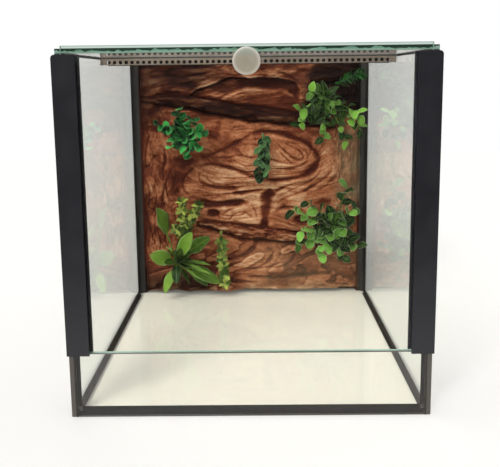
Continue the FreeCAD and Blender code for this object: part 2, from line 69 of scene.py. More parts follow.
FIXED_PANES = {
    "base_pane": ((0, 0, 1), GLASS_ON_CREAM, LOWER_EDGE, LOW_GLARE),
    "left_side_pane": ((1, 0, 0), FLOAT_GLASS, LOWER_EDGE, HALF_GLARE),
    "right_side_pane": ((1, 0, 0), FLOAT_GLASS, LOWER_EDGE, HALF_GLARE),
    "back_pane": ((0, 1, 0), FLOAT_GLASS, LOWER_EDGE, CLEAN_GLARE),
    "front_sill_pane": ((0, 1, 0), FLOAT_GLASS, LOWER_EDGE, CLEAN_GLARE),
    "top_front_pane": ((0, 0, 1), FLOAT_GLASS, TOP_EDGE, LOW_GLARE, TOP_EDGE_HOLE_REFLECTION),
    "top_rear_pane": ((0, 0, 1), FLOAT_GLASS, TOP_EDGE, LOW_GLARE, TOP_EDGE_HOLE_REFLECTION),
}


def linear(code):
    """An sRGB hex colour as the linear values that shaders use."""
    channels = [int(code[k:k + 2], 16) / 255 for k in (1, 3, 5)]
    return [c / 12.92 if c <= 0.04045 else ((c + 0.055) / 1.055) ** 2.4 for c in channels] + [1]


def add(tree, kind, inputs=(), **settings):
    """A new node with its settings, each input given a node, an output, a value or a hex colour."""
    node = tree.nodes.new("ShaderNode" + kind)
    for name, value in settings.items():
        setattr(node, name, value)
    for socket, value in dict(inputs).items():
        if isinstance(value, bpy.types.Node):
            value = value.outputs[0]
        if isinstance(value, bpy.types.NodeSocket):
            tree.links.new(value, node.inputs[socket])
        else:
            node.inputs[socket].default_value = linear(value) if isinstance(value, str) else value
    return node


def material(name):
    """A new material with an empty node tree, and that tree."""
    made = bpy.data.materials.new(name)
    made.use_nodes = True
    made.node_tree.nodes.clear()
    return made, made.node_tree


def float_glass(name, thin, colour, edge_colour, glare, hole_reflection=None, top_tint=None):
    """Float glass whose thin way is given: clear through its faces, tinted and ground matt at its edges."""
    made, tree = material(name)
    place = add(tree, "TexCoord").outputs["Object"]
    normal = add(tree, "NewGeometry").outputs["Normal"]
    facing = add(tree, "VectorMath", {0: normal, 1: thin}, operation="DOT_PRODUCT").outputs["Value"]
    face_on = add(tree, "Math", {0: facing}, operation="ABSOLUTE")
    at_edge = add(tree, "Math", {0: face_on, 1: EDGE_TURN}, operation="LESS_THAN")
    wiped = add(tree, "TexNoise", {"Vector": place, "Scale": 1 / (SMEAR_SPOT * MM), "Detail": 3})
    smear = add(tree, "MapRange", {0: wiped, 1: 0.45, 2: 0.8, 3: 0.0, 4: SMEAR_MATT})
    level = add(tree, "SeparateXYZ", {0: add(tree, "TexCoord").outputs["Generated"]}).outputs["Z"]
    clear = colour
    if top_tint:
        near_top = add(tree, "MapRange", {0: level, 1: TINT_FROM, 2: TINT_FULL})
        clear = add(tree, "MixRGB", {0: near_top, 1: colour, 2: top_tint})
    sheet = add(tree, "BsdfPrincipled", {
        "Base Color": clear, "Roughness": smear, "IOR": GLASS_IOR, "Transmission Weight": 1,
        "Specular Tint": glare})
    edge_tone = edge_colour
    # Dark marks along the top of the edge: a painted reflection of the vent's holes
    if hole_reflection:
        along = add(tree, "Mapping", {0: place, 3: (1, 1, 0)})
        reflection_pattern = add(tree, "TexNoise", {"Vector": along, "Scale": 1 / (HOLE_REFLECTION_LENGTH * MM), "Detail": 3})
        reflection_depth = add(tree, "MapRange", {0: reflection_pattern, 1: 0.36, 2: 0.66, 3: HOLE_REFLECTION_LEAST, 4: HOLE_REFLECTION_MOST})
        in_hole_reflection = add(tree, "Math", {0: level, 1: reflection_depth}, operation="GREATER_THAN")
        edge_tone = add(tree, "MixRGB", {0: in_hole_reflection, 1: edge_colour, 2: hole_reflection})
    edge = add(tree, "BsdfPrincipled", {
        "Base Color": edge_tone, "Roughness": EDGE_MATT, "IOR": GLASS_IOR, "Transmission Weight": EDGE_CLEAR})
    passing = add(tree, "BsdfTransparent", {"Color": colour})
    body = add(tree, "MixShader", {0: at_edge, 1: sheet, 2: edge})
    in_shadow = add(tree, "LightPath").outputs["Is Shadow Ray"]
    lit = add(tree, "MixShader", {0: in_shadow, 1: body, 2: passing})
    add(tree, "OutputMaterial", {"Surface": lit})
    return made


def finish_node(name, made):
    """Gives a CAD node its material."""
    nodes[name].data.materials.clear()
    nodes[name].data.materials.append(made)


for name, finish in FIXED_PANES.items():
    finish_node(name, float_glass("float_glass_" + name, *finish))

# Silicone seams: black sealant between the panes, with fillets that were wiped by finger.
# Cured silicone is a satin black rubber, with slow lumps where the finger paused.
SILICONE = "#1c1917"
SILICONE_WIPED = "#302b27"
SILICONE_IN_GLARE = "#4a4743"
# Seams at the front are paler grey: a painted reflection of the bright floor in the glass before them
SEAMS_WITH_PAINTED_GLARE = ("base_front_seam", "sill_left_seam", "sill_right_seam")
TOP_SEAMS = ("top_front_left_seam", "top_front_right_seam", "top_rear_left_seam", "top_rear_right_seam")
SILICONE_IOR = 1.41
LUMP, LUMP_RELIEF = 9, 0.6
for label, dark, pale in (
    ("black_silicone", SILICONE, SILICONE_WIPED), ("silicone_with_painted_glare", SILICONE_WIPED, SILICONE_IN_GLARE),
):
    silicone, tree = material(label)
    place = add(tree, "TexCoord").outputs["Object"]
    lumps = add(tree, "TexNoise", {"Vector": place, "Scale": 1 / (LUMP * MM), "Detail": 4})
    worn = add(tree, "MapRange", {0: lumps, 1: 0.35, 2: 0.7, 3: 0.32, 4: 0.55})
    tone = add(tree, "MixRGB", {0: lumps, 1: dark, 2: pale})
    ripple = add(tree, "Bump", {"Height": lumps, "Strength": 0.35, "Distance": LUMP_RELIEF * MM})
    rubber = add(tree, "BsdfPrincipled", {
        "Base Color": tone, "Roughness": worn, "IOR": SILICONE_IOR, "Normal": ripple})
    add(tree, "OutputMaterial", {"Surface": rubber})
    for name in nodes:
        sealant = name.endswith(("_seam", "_bond", "_seal", "_adhesive")) and name not in TOP_SEAMS
        if sealant and (name in SEAMS_WITH_PAINTED_GLARE) == (label == "silicone_with_painted_glare"):
            finish_node(name, silicone)

# Under the top panes the fillets are wiped almost flush, so that only a narrow line shows
WIPED_LEG = 1.2
WIPED_SECTION = ((0, 0), (1, 0), (0.55, 0.12), (0.3, 0.3), (0.12, 0.55), (0, 1))
WIPED_STEPS = 20
DOOR_RAIL_ROOM = 2.2
BEAD_END_GAP = 1
vent_low, vent_high = (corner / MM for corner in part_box("vent_strip"))


def placed(name, data):
    """A new object in the scene."""
    piece = bpy.data.objects.new(name, data)
    bpy.context.scene.collection.objects.link(piece)
    return piece


def tube_faces(first, rings, count):
    """The faces of a run of rings with as many points each, closed at both ends."""
    faces = []
    for start in range(first, first + (rings - 1) * count, count):
        for k in range(count):
            a, b = start + k, start + (k + 1) % count
            faces.append((a, b, b + count, a + count))
    last = first + (rings - 1) * count
    return faces + [tuple(range(first, first + count))[::-1], tuple(range(last, last + count))]


def swept(name, runs):
    """One object from runs of like rings in millimetres."""
    verts, faces = [], []
    for rings in runs:
        faces += tube_faces(len(verts), len(rings), len(rings[0]))
        verts += [Vector(point) * MM for ring in rings for point in ring]
    made = bpy.data.meshes.new(name)
    made.from_pydata(verts, [], faces)
    return placed(name, made)


for name in TOP_SEAMS:
    low, high = (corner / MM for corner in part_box(name))
    side = "left" if "left" in name else "right"
    pane_low, pane_high = (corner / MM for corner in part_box(side + "_side_pane"))
    outer, wall, inward = (pane_low.x, pane_high.x, 1) if side == "left" else (pane_high.x, pane_low.x, -1)
    if "front" in name:
        start, end = low.y + DOOR_RAIL_ROOM, vent_low.y - BEAD_END_GAP
    else:
        start, end = vent_high.y + BEAD_END_GAP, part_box(f"rock_{side}_seal")[0].y / MM - BEAD_END_GAP
    film = [[(outer, y, pane_high.z), (wall, y, pane_high.z), (wall, y, high.z), (outer, y, high.z)]
            for y in (low.y, high.y)]
    bead = []
    for k in range(WIPED_STEPS + 1):
        # The fillet swells and thins a little where the finger paused
        leg = WIPED_LEG * (1 + 0.2 * math.sin(1.7 * k) * math.cos(0.6 * k))
        y = start + (end - start) * k / WIPED_STEPS
        bead.append([(wall + inward * leg * a, y, high.z - leg * b) for a, b in WIPED_SECTION])
    seam = swept(name + "_wiped", (film, bead))
    seam.data.materials.append(bpy.data.materials["black_silicone"])
    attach(seam, "tank")
    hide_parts(name)

# Vent strip: perforated aluminium sheet with both long edges folded down, glued under the top panes.
# Mill-finish metal, streaked along the way it was rolled, with punched round holes.
HOLE_DIAMETER = 3.9
HOLE_PITCH = 5.7
HOLE_SIDES = 12
HOLE_ROWS = 3
SHEET_METAL = 1.0
SHEET_BURR = 0.1
ROLLED_STREAK = 1.5
ALUMINIUM = "#9c8f83"
ALUMINIUM_DULL = "#6e6258"
# Dark metal for the rear flange, which is seen through the holes: painted shade inside the channel
ALUMINIUM_IN_PAINTED_SHADE = "#322f2a"
ALUMINIUM_IN_PAINTED_SHADE_DULL = "#23201d"


def punched_sheet(length, width, rows):
    """A flat sheet round the origin with staggered rows of punched holes, as a mesh in millimetres."""
    curve = bpy.data.curves.new("punched_sheet", "CURVE")
    curve.dimensions = "2D"
    curve.fill_mode = "BOTH"
    curve.extrude = SHEET_METAL / 2 - SHEET_BURR
    curve.bevel_depth = SHEET_BURR
    curve.bevel_resolution = 1
    hole = HOLE_DIAMETER / 2
    rings = [[(x * length / 2, y * width / 2) for x, y in ((-1, -1), (1, -1), (1, 1), (-1, 1))]]
    count = int((length - HOLE_PITCH) // HOLE_PITCH)
    turns = [k * math.pi / (HOLE_SIDES / 2) for k in range(HOLE_SIDES)]
    for row in range(rows):
        in_row = count - row % 2
        y = (row - (rows - 1) / 2) * HOLE_PITCH * math.sin(math.pi / 3)
        for column in range(in_row):
            x = (column - (in_row - 1) / 2) * HOLE_PITCH
            rings.append([(x + hole * math.cos(a), y + hole * math.sin(a)) for a in turns])
    for ring in rings:
        spline = curve.splines.new("POLY")
        spline.points.add(len(ring) - 1)
        for point, (x, y) in zip(spline.points, ring):
            point.co = (x, y, 0, 1)
        spline.use_cyclic_u = True
    carrier = bpy.data.objects.new("punched_sheet", curve)
    mesh = bpy.data.meshes.new_from_object(carrier)
    bpy.data.objects.remove(carrier)
    bpy.data.curves.remove(curve)
    return mesh


def joined(name, parts):
    """One object from meshes in millimetres, each with its place and the number of its finish."""
    verts, faces, finishes = [], [], []
    for mesh, place, number in parts:
        start = len(verts)
        verts += [(place @ v.co) * MM for v in mesh.vertices]
        faces += [[start + k for k in face.vertices] for face in mesh.polygons]
        finishes += [number] * len(mesh.polygons)
    made = bpy.data.meshes.new(name)
    made.from_pydata(verts, [], faces)
    made.polygons.foreach_set("material_index", finishes)
    return placed(name, made)


vent_length = vent_high.x - vent_low.x
vent_width = vent_high.y - vent_low.y
flange = vent_high.z - vent_low.z - SHEET_METAL
vent_middle = (vent_low.y + vent_high.y) / 2
upright = Matrix.Rotation(math.pi / 2, 4, "X")
flange_z = vent_low.z + flange / 2
vent = joined("vent_strip_punched", (
    (punched_sheet(vent_length, vent_width, HOLE_ROWS),
     Matrix.Translation((0, vent_middle, vent_high.z - SHEET_METAL / 2)), 0),
    (punched_sheet(vent_length, flange, 1),
     Matrix.Translation((0, vent_low.y + SHEET_METAL / 2, flange_z)) @ upright, 0),
    # The rear flange takes the dark finish as painted shade, so that the holes look dark
    (punched_sheet(vent_length, flange, 0),
     Matrix.Translation((0, vent_high.y - SHEET_METAL / 2, flange_z)) @ upright, 1),
))
for name, bright, dull in (("perforated_aluminium", ALUMINIUM, ALUMINIUM_DULL),
                           ("unpolished_aluminium", ALUMINIUM_IN_PAINTED_SHADE, ALUMINIUM_IN_PAINTED_SHADE_DULL)):
    aluminium, tree = material(name)
    place = add(tree, "TexCoord").outputs["Object"]
    rolled = add(tree, "Mapping", {0: place, 3: (0.05, 1, 1)})
    streaks = add(tree, "TexNoise", {"Vector": rolled, "Scale": 1 / (ROLLED_STREAK * MM), "Detail": 3})
    tone = add(tree, "MixRGB", {0: streaks, 1: bright, 2: dull})
    rough = add(tree, "MapRange", {0: streaks, 1: 0.3, 2: 0.7, 3: 0.45, 4: 0.65})
    metal = add(tree, "BsdfPrincipled", {"Base Color": tone, "Roughness": rough, "Metallic": 1})
    add(tree, "OutputMaterial", {"Surface": metal})
    vent.data.materials.append(aluminium)
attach(vent, "tank")
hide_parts("vent_strip")

# Door rails: two extruded lengths of black plastic, hooked over the front edges of the side panes.
# Satin black, with faint lines along the extrusion and a soft edge where the saw cut was cleaned.
RAIL_PLASTIC = "#19191e"
RAIL_RUBBED = "#25252b"
RAIL_SOFTNESS = 0.35
RAIL_IOR = 1.5
DRAWN_LINE, LINE_RELIEF, SCUFF = 1.2, 0.2, 25
plastic, tree = material("extruded_black_plastic")
place = add(tree, "TexCoord").outputs["Object"]
drawn = add(tree, "Mapping", {0: place, 3: (1, 1, 0.02)})
lines = add(tree, "TexNoise", {"Vector": drawn, "Scale": 1 / (DRAWN_LINE * MM), "Detail": 2})
scuffs = add(tree, "TexNoise", {"Vector": place, "Scale": 1 / (SCUFF * MM), "Detail": 5})
tone = add(tree, "MixRGB", {0: scuffs, 1: RAIL_PLASTIC, 2: RAIL_RUBBED})
rough = add(tree, "MapRange", {0: scuffs, 1: 0.3, 2: 0.7, 3: 0.34, 4: 0.5})
relief = add(tree, "Bump", {"Height": lines, "Strength": 0.25, "Distance": LINE_RELIEF * MM})
satin = add(tree, "BsdfPrincipled", {
    "Base Color": tone, "Roughness": rough, "IOR": RAIL_IOR, "Normal": relief})
add(tree, "OutputMaterial", {"Surface": satin})
for name in ("left_door_rail", "right_door_rail"):
    finish_node(name, plastic)
    softened = nodes[name].modifiers.new("soft_edges", "BEVEL")
    softened.width = RAIL_SOFTNESS * MM
    softened.segments = 2
    softened.limit_method = "ANGLE"

# Door: a loose pane that stands on the sill and runs in the two rails, with a turned knob stuck near its top.
# The knob is cast in smoky translucent plastic, and a clear foam pad holds it.
DOOR_TOP = "#c6d5cc"
SMOKY_PLASTIC = "#b8b2a2"
SMOKY_CORE = "#a0927c"
SMOKY_TOP = "#a9bbae"
SMOKY_RIM_HIGHLIGHT = "#ded7c9"
SMOKY_IOR = 1.49
SMOKY_CLOUD = 7
PAD_FOAM = "#b8b4a8"
PAD_CELL, PAD_PORE = 0.8, 0.2
KNOB_EDGE = 1.3
KNOB_REAR_EDGE = 0.6
KNOB_HEAD = 7
KNOB_DISH, KNOB_FLAT = 0.5, 3.4
KNOB_WAIST = 1.6
KNOB_STEPS = 64
knob_low, knob_high = (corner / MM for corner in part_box("door_knob"))
door_glass = float_glass(
    "float_glass_door_pane", (0, 1, 0), FLOAT_GLASS, TOP_EDGE, LOW_GLARE, top_tint=DOOR_TOP)
finish_node("door_pane", door_glass)


def turned(name, profile):
    """A turned piece: its profile of radius and depth in millimetres, run round the knob's axis along Y."""
    centre = (knob_low + knob_high) / 2
    verts = []
    for radius, y in profile:
        for k in range(KNOB_STEPS):
            a = 2 * math.pi * k / KNOB_STEPS
            verts.append(Vector((centre.x + radius * math.cos(a), y, centre.z + radius * math.sin(a))) * MM)
    faces = tube_faces(0, len(profile), KNOB_STEPS)
    made = bpy.data.meshes.new(name)
    made.from_pydata(verts, [], faces)
    made.polygons.foreach_set("use_smooth", [True] * (len(faces) - 2) + [False, False])
    return placed(name, made)


pad_radius = (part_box("knob_pad")[1].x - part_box("knob_pad")[0].x) / 2 / MM
head_radius = (knob_high.x - knob_low.x) / 2
head_back = knob_low.y + KNOB_HEAD
dished = [(0.2, knob_low.y + KNOB_DISH), (head_radius - KNOB_FLAT, knob_low.y + KNOB_DISH / 2)]
rim = [(head_radius - KNOB_EDGE * (1 - math.sin(a)), knob_low.y + KNOB_EDGE * (1 - math.cos(a)))
       for a in (math.radians(18 * k) for k in range(6))]
rear_rim = [(head_radius - KNOB_REAR_EDGE * (1 - math.cos(a)), head_back - KNOB_REAR_EDGE * (1 - math.sin(a)))
            for a in (math.radians(30 * k) for k in range(4))]
neck = [
    (pad_radius - 1.2, head_back), (pad_radius - KNOB_WAIST, head_back + 1.5),
    (pad_radius - 1.4, knob_high.y - 2), (pad_radius, knob_high.y),
]
knob = turned("door_knob_turned", dished + rim + rear_rim + neck)
smoky, tree = material("cast_smoky_plastic")
place = add(tree, "TexCoord").outputs["Object"]
cloud = add(tree, "TexNoise", {"Vector": place, "Scale": 1 / (SMOKY_CLOUD * MM), "Detail": 4})
clouded = add(tree, "MixRGB", {0: cloud, 1: SMOKY_PLASTIC, 2: SMOKY_CORE})
generated = add(tree, "TexCoord").outputs["Generated"]
within = add(tree, "VectorMath", {0: generated, 1: (0.5, 0.5, 0.5)}, operation="SUBTRACT")
face_on = add(tree, "VectorMath", {0: within, 1: (1, 0, 1)}, operation="MULTIPLY")
radius = add(tree, "VectorMath", {0: face_on}, operation="LENGTH").outputs["Value"]
rise = add(tree, "SeparateXYZ", {0: face_on}).outputs["Z"]
near_top = add(tree, "MapRange", {0: rise, 1: 0.12, 2: 0.42, 3: 0.0, 4: 0.8})
greened = add(tree, "MixRGB", {0: near_top, 1: clouded, 2: SMOKY_TOP})
# A paler rim all round is a painted highlight: light shining through the edge of the disc
rim_highlight = add(tree, "MapRange", {0: radius, 1: 0.36, 2: 0.47, 3: 0.0, 4: 0.75})
tone = add(tree, "MixRGB", {0: rim_highlight, 1: greened, 2: SMOKY_RIM_HIGHLIGHT})
cast = add(tree, "BsdfPrincipled", {
    "Base Color": tone, "Roughness": 0.32, "IOR": SMOKY_IOR, "Transmission Weight": 0.12, "Coat Weight": 0.2})
add(tree, "OutputMaterial", {"Surface": cast})
knob.data.materials.append(smoky)
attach(knob, "door")
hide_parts("door_knob")
foam_pad, tree = material("clear_foam_pad")
place = add(tree, "TexCoord").outputs["Object"]
cells = add(tree, "TexNoise", {"Vector": place, "Scale": 1 / (PAD_CELL * MM)})
pores = add(tree, "Bump", {"Height": cells, "Strength": 0.4, "Distance": PAD_PORE * MM})
foam = add(tree, "BsdfPrincipled", {"Base Color": PAD_FOAM, "Roughness": 0.6, "Normal": pores})
add(tree, "OutputMaterial", {"Surface": foam})
finish_node("knob_pad", foam_pad)

# Rock background: a slab of foam carved into grain, roots and hollows, sealed and painted by hand.
# A dark red-brown wash stays in the cuts, and tan is brushed dry over the ridges.
# Painted light and shade lie over the paint too: a pool of light in the middle, painted shade at the top,
# in the upper right corner and on the left, and painted shadow under the arch, the roots and a plant.
ROCK_GRID = 0.8
ROCK_EDGE = 20
ROCK_RELIEF = 8.0
# Broad forms, as in the solid: centre, half width and half height as shares of the rock, and share of relief
ROCK_FORMS = (
    (-0.78, 0.5, 0.24, 0.4, 0.55), (0.28, 0.59, 0.42, 0.11, 0.8), (-0.21, 0.5, 0.42, 0.09, 0.7),
    (0, 0.9, 0.62, 0.07, 0.9), (0.76, 0.57, 0.24, 0.3, 0.6), (-0.07, 0.34, 0.56, 0.07, 0.6),
    (-0.07, 0.07, 1.04, 0.1, 0.9),
)
# Roots that cross the rock: how dark it is stained, and its places in millimetres with the radius there
ROOTS = (
    (0.8, ((-132, 254, 3.5), (-104, 253, 6), (-74, 250, 7), (-50, 244, 7.4), (-13, 238, 7.8), (27, 233, 8),
           (63, 228, 7), (104, 220, 3))),
    (0.3, ((-63, 96, 3.5), (-38, 92, 7), (-16, 86, 8), (15, 81, 8.4), (46, 78, 8), (71, 74, 7), (98, 72, 3))),
)
# Cuts: half width, depth and the places that a smooth line goes through
CUTS = (
    # The eye in the middle: its rim, the deep end at its right, and the turns inside
    (3.4, 5.0, ((-67, 179), (-43, 187), (-22, 197), (-4, 207), (12, 213), (31, 212), (49, 207), (65, 201),
               (77, 192), (84, 182), (83, 171), (74, 161), (59, 155), (38, 152), (20, 153), (6, 156),
               (-6, 161), (-21, 167), (-37, 171), (-53, 173))),
    (6.0, 4.0, ((67, 200), (77, 191), (83, 180), (80, 169), (69, 160))),
    (1.4, 1.8, ((27, 204), (45, 201), (61, 195), (71, 185), (69, 175), (57, 168), (41, 166), (27, 170))),
    (1.4, 2.0, ((32, 203), (47, 197), (60, 190), (66, 182), (61, 178), (51, 182), (39, 193), (33, 199))),
    (1.0, 1.2, ((35, 189), (44, 180), (53, 172))),
    (1.3, 1.0, ((-51, 181), (-31, 181), (-12, 184), (0, 181), (6, 173))),
    (1.3, 1.0, ((-35, 177), (-16, 175), (-4, 168), (8, 159))),
    # The tongue below it, and the clefts under the tongue
    (2.4, 3.2, ((-65, 170), (-47, 172), (-27, 168), (-8, 161))),
    (2.0, 2.8, ((-65, 163), (-64, 153), (-56, 146), (-39, 142), (-19, 142), (6, 145))),
    (1.1, 1.2, ((-55, 161), (-54, 154), (-46, 148), (-31, 147))),
    (3.0, 3.4, ((-67, 173), (-78, 163), (-86, 152), (-84, 140), (-76, 132))),
    (1.6, 1.8, ((-77, 132), (-62, 126), (-40, 125), (-15, 125), (2, 127))),
    (4.2, 6.6, ((-61, 121), (-44, 121), (-23, 122), (-1, 123))),
    (2.4, 3.4, ((-24, 136), (-7, 136), (17, 141))),
    (1.8, 2.6, ((60, 149), (44, 143), (30, 136), (22, 130))),
    (6.2, 7.2, ((30, 137), (22, 131), (19, 124), (18, 108), (17, 92), (16, 72))),
    (1.2, 1.5, ((-1, 122), (6, 110), (9, 93))),
    (1.2, 1.3, ((10, 127), (14, 112), (14, 93))),
    (1.2, 1.5, ((27, 123), (24, 110), (23, 93))),
    # Long lines that sweep down from the right
    (2.0, 2.4, ((102, 175), (99, 161), (87, 149), (69, 138), (47, 129), (32, 121))),
    (1.3, 1.5, ((89, 172), (85, 159), (73, 149), (53, 139), (32, 129))),
    (1.3, 1.3, ((109, 200), (114, 180), (110, 161), (96, 145), (79, 135))),
    (2.4, 3.2, ((31, 110), (44, 116), (61, 114), (73, 107))),
    # Arches and pebbles round the lower root
    (1.5, 1.9, ((-39, 105), (-28, 114), (-13, 118), (-1, 119))),
    (1.4, 1.7, ((-29, 99), (-21, 108), (-8, 110), (4, 101))),
    (2.4, 2.8, ((-56, 115), (-45, 112), (-40, 102))),
    (2.4, 3.2, ((-29, 50), (-10, 53), (3, 63), (6, 75))),
    (2.4, 3.2, ((19, 63), (28, 57), (19, 44), (5, 36))),
    (1.4, 1.8, ((32, 65), (38, 57), (30, 44))),
    (2.2, 3.0, ((46, 61), (55, 54), (47, 43), (32, 38))),
    (1.5, 2.0, ((-53, 54), (-33, 49), (-12, 50))),
    (1.5, 2.0, ((-29, 41), (-4, 37), (25, 39), (48, 38))),
    (2.8, 3.4, ((-10, 27), (25, 25), (57, 26), (84, 30), (105, 30))),
    (1.6, 1.8, ((-46, 23), (-21, 20), (9, 19))),
    # Lines on the mound inside the arch, and the ledges above the arch
    (1.0, 1.2, ((-23, 256), (-12, 261), (1, 261))),
    (1.0, 1.2, ((20, 250), (25, 257), (36, 260))),
    (1.1, 1.3, ((33, 246), (41, 253), (43, 260))),
    (3.2, 3.6, ((-113, 277), (-96, 280), (-79, 281), (-66, 285), (-44, 284))),
    (2.6, 3.0, ((-118, 262), (-100, 258), (-84, 262))),
    (3.0, 3.2, ((-103, 291), (-73, 293), (-41, 294))),
    (1.4, 1.6, ((20, 293), (38, 287), (54, 279), (62, 271))),
    # Clefts in the rough columns at both sides
    (2.0, 2.8, ((-109, 196), (-107, 180), (-111, 161), (-104, 147))),
    (2.0, 2.6, ((-134, 191), (-139, 162), (-137, 120), (-129, 90), (-132, 61))),
    (2.2, 3.0, ((-96, 174), (-104, 157), (-112, 128), (-108, 107))),
    (1.6, 2.2, ((-123, 149), (-120, 128), (-127, 107))),
    (8.5, 4.6, ((-65, 181), (-84, 169), (-97, 149), (-102, 132))),
    (1.4, 1.8, ((122, 204), (118, 180), (112, 155), (106, 141))),
    (2.2, 2.8, ((129, 196), (129, 171), (127, 147))),
    (1.6, 2.2, ((137, 222), (135, 188), (134, 142))),
    (1.4, 1.6, ((109, 58), (125, 43), (134, 24))),
)
# The arch over the upper root: the lip that hangs over it, and the top of the mound inside it
ARCH_LIP = (
    (-75, 259), (-65, 266), (-52, 270), (-42, 274), (-31, 279), (-14, 281), (5, 279), (26, 280), (44, 277),
    (57, 273), (62, 265),
)
ARCH_MOUND = (
    (-75, 236), (-50, 243), (-38, 250), (-26, 259), (-10, 266), (1, 267), (31, 265), (45, 263), (55, 255),
    (62, 246),
)
ARCH_DEPTH = 5.5
# Cuts deeper than this have steep walls, and the others are rounded
CLEAN_CUT = 6
STEEP_WALLS, ROUND_WALLS = 3.2, 1.5
# Knots that the grain flows round: centre, half width, half height and how strongly
KNOTS = (
    (57, 184, 24, 15, 30), (0, 178, 62, 22, 30), (10, 262, 52, 12, 16), (-38, 154, 40, 14, 18),
    (20, 58, 30, 14, 16), (64, 100, 24, 12, 14), (-22, 108, 22, 9, 10),
)
# Hollows: centre, half width, half height and depth
HOLLOWS = ((66, 99, 12, 7, 4.0), (-47, 110, 8, 5, 3.2))
# Grain that follows the flow: width of a streak, how far it stands up, and its seed
GRAIN = ((15, 0.95, 41), (7, 0.5, 42), (3.4, 0.2, 43))
FOOT_WAVE = 34
FOOT_DROP = 14
SEAL_STRIP = 7.5
DEEPEST, HIGHEST = -9, 17
# How far each kind of carving stands up or goes in
SWELL_RISE = 2.2
GRAIN_RISE, CREASE_DEPTH = 1.1, 0.5
SLAB_RISE = 1.5
BARK_RISE, BARK_CRACK = 3.2, 1.8
TOOL_MARK = 0.4
LEDGE_RISE, CRUMB_RISE = 2.6, 0.9
ROOT_RIDGE, ROOT_UNDERCUT = 1.7, 2.4
BROW_RISE = 1.2
GROOVE_LIP, GROOVE_DEPTH = 0.45, 0.9
BRUSHED_LEVEL = 0.425
LATTICE = 97
rock_low, rock_high = (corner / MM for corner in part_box("rock_background"))
rock_front = rock_high.y - ROCK_EDGE
across = np.linspace(rock_low.x, rock_high.x, round((rock_high.x - rock_low.x) / ROCK_GRID))
upward = np.linspace(rock_low.z, rock_high.z, round((rock_high.z - rock_low.z) / ROCK_GRID))
X, Z = np.meshgrid(across, upward)


def noise(u, v, seed):
    """Smooth noise from -1 to 1 with one swell in each unit."""
    lattice = np.random.default_rng(seed).uniform(-1, 1, (LATTICE, LATTICE))
    i, j = np.floor(u).astype(int), np.floor(v).astype(int)
    s, t = u - i, v - j
    s, t = s * s * (3 - 2 * s), t * t * (3 - 2 * t)
    i, j, next_i, next_j = i % LATTICE, j % LATTICE, (i + 1) % LATTICE, (j + 1) % LATTICE
    near = lattice[i, j] * (1 - s) + lattice[next_i, j] * s
    far = lattice[i, next_j] * (1 - s) + lattice[next_i, next_j] * s
    return near * (1 - t) + far * t


def rough_noise(u, v, seed, octaves=4):
    """Noise with finer and lower noise laid over it."""
    return sum(noise(u * 2 ** k, v * 2 ** k, seed + k) / 2 ** k for k in range(octaves))


def step(low, high, value):
    """A smooth rise from 0 at low to 1 at high."""
    t = np.clip((value - low) / (high - low), 0, 1)
    return t * t * (3 - 2 * t)


def swell(u, v, a, b, w, h):
    """A round swell: 1 at its centre, and low beyond its half width and half height."""
    return np.exp(-((u - a) / w) ** 2 - ((v - b) / h) ** 2)


def smooth_line(points, pieces=5):
    """A curve through the points, with any further values of theirs carried along."""
    p = np.array(points, float)
    p = np.vstack((2 * p[0] - p[1], p, 2 * p[-1] - p[-2]))
    t = np.linspace(0, 1, pieces, endpoint=False)[:, None]
    runs = []
    for a, b, c, d in zip(p, p[1:], p[2:], p[3:]):
        bend, twist = 2 * a - 5 * b + 4 * c - d, 3 * b - a - 3 * c + d
        runs.append(0.5 * (2 * b + (c - a) * t + bend * t ** 2 + twist * t ** 3))
    return np.vstack(runs + [p[-2:-1]])


def from_line(points):
    """How far each place on the rock is from a smooth line, the line's share there and its third value."""
    line = smooth_line(points)
    nearest = np.full(X.shape, 1e9)
    share, carried = np.zeros(X.shape), np.zeros(X.shape)
    for k, (a, b) in enumerate(zip(line, line[1:])):
        run = b[:2] - a[:2]
        t = np.clip(((X - a[0]) * run[0] + (Z - a[1]) * run[1]) / (run @ run), 0, 1)
        away = np.hypot(X - a[0] - t * run[0], Z - a[1] - t * run[1])
        closer = away < nearest
        nearest = np.where(closer, away, nearest)
        share = np.where(closer, (k + t) / (len(line) - 1), share)
        carried = np.where(closer, a[-1] + t * (b[-1] - a[-1]), carried)
    return nearest, share, carried


def spread(values, reach):
    """Values averaged over a square of so many grid steps each way."""
    kernel = np.ones(2 * reach + 1) / (2 * reach + 1)
    for axis in (0, 1):
        padded = np.pad(values, [(reach, reach) if k == axis else (0, 0) for k in (0, 1)], mode="edge")
        values = np.apply_along_axis(np.convolve, axis, padded, kernel, "valid")
    return values


# In each noise a place is divided by the size of a swell in millimetres, and the next number is the seed.
# Broad forms, with slow swells between them
share_x = X / rock_high.x
share_z = (Z - rock_low.z) / (rock_high.z - rock_low.z)
height = ROCK_RELIEF * sum(part * swell(share_x, share_z, *form) for *form, part in ROCK_FORMS)
height += SWELL_RISE * rough_noise(X / 46, Z / 34, 11)

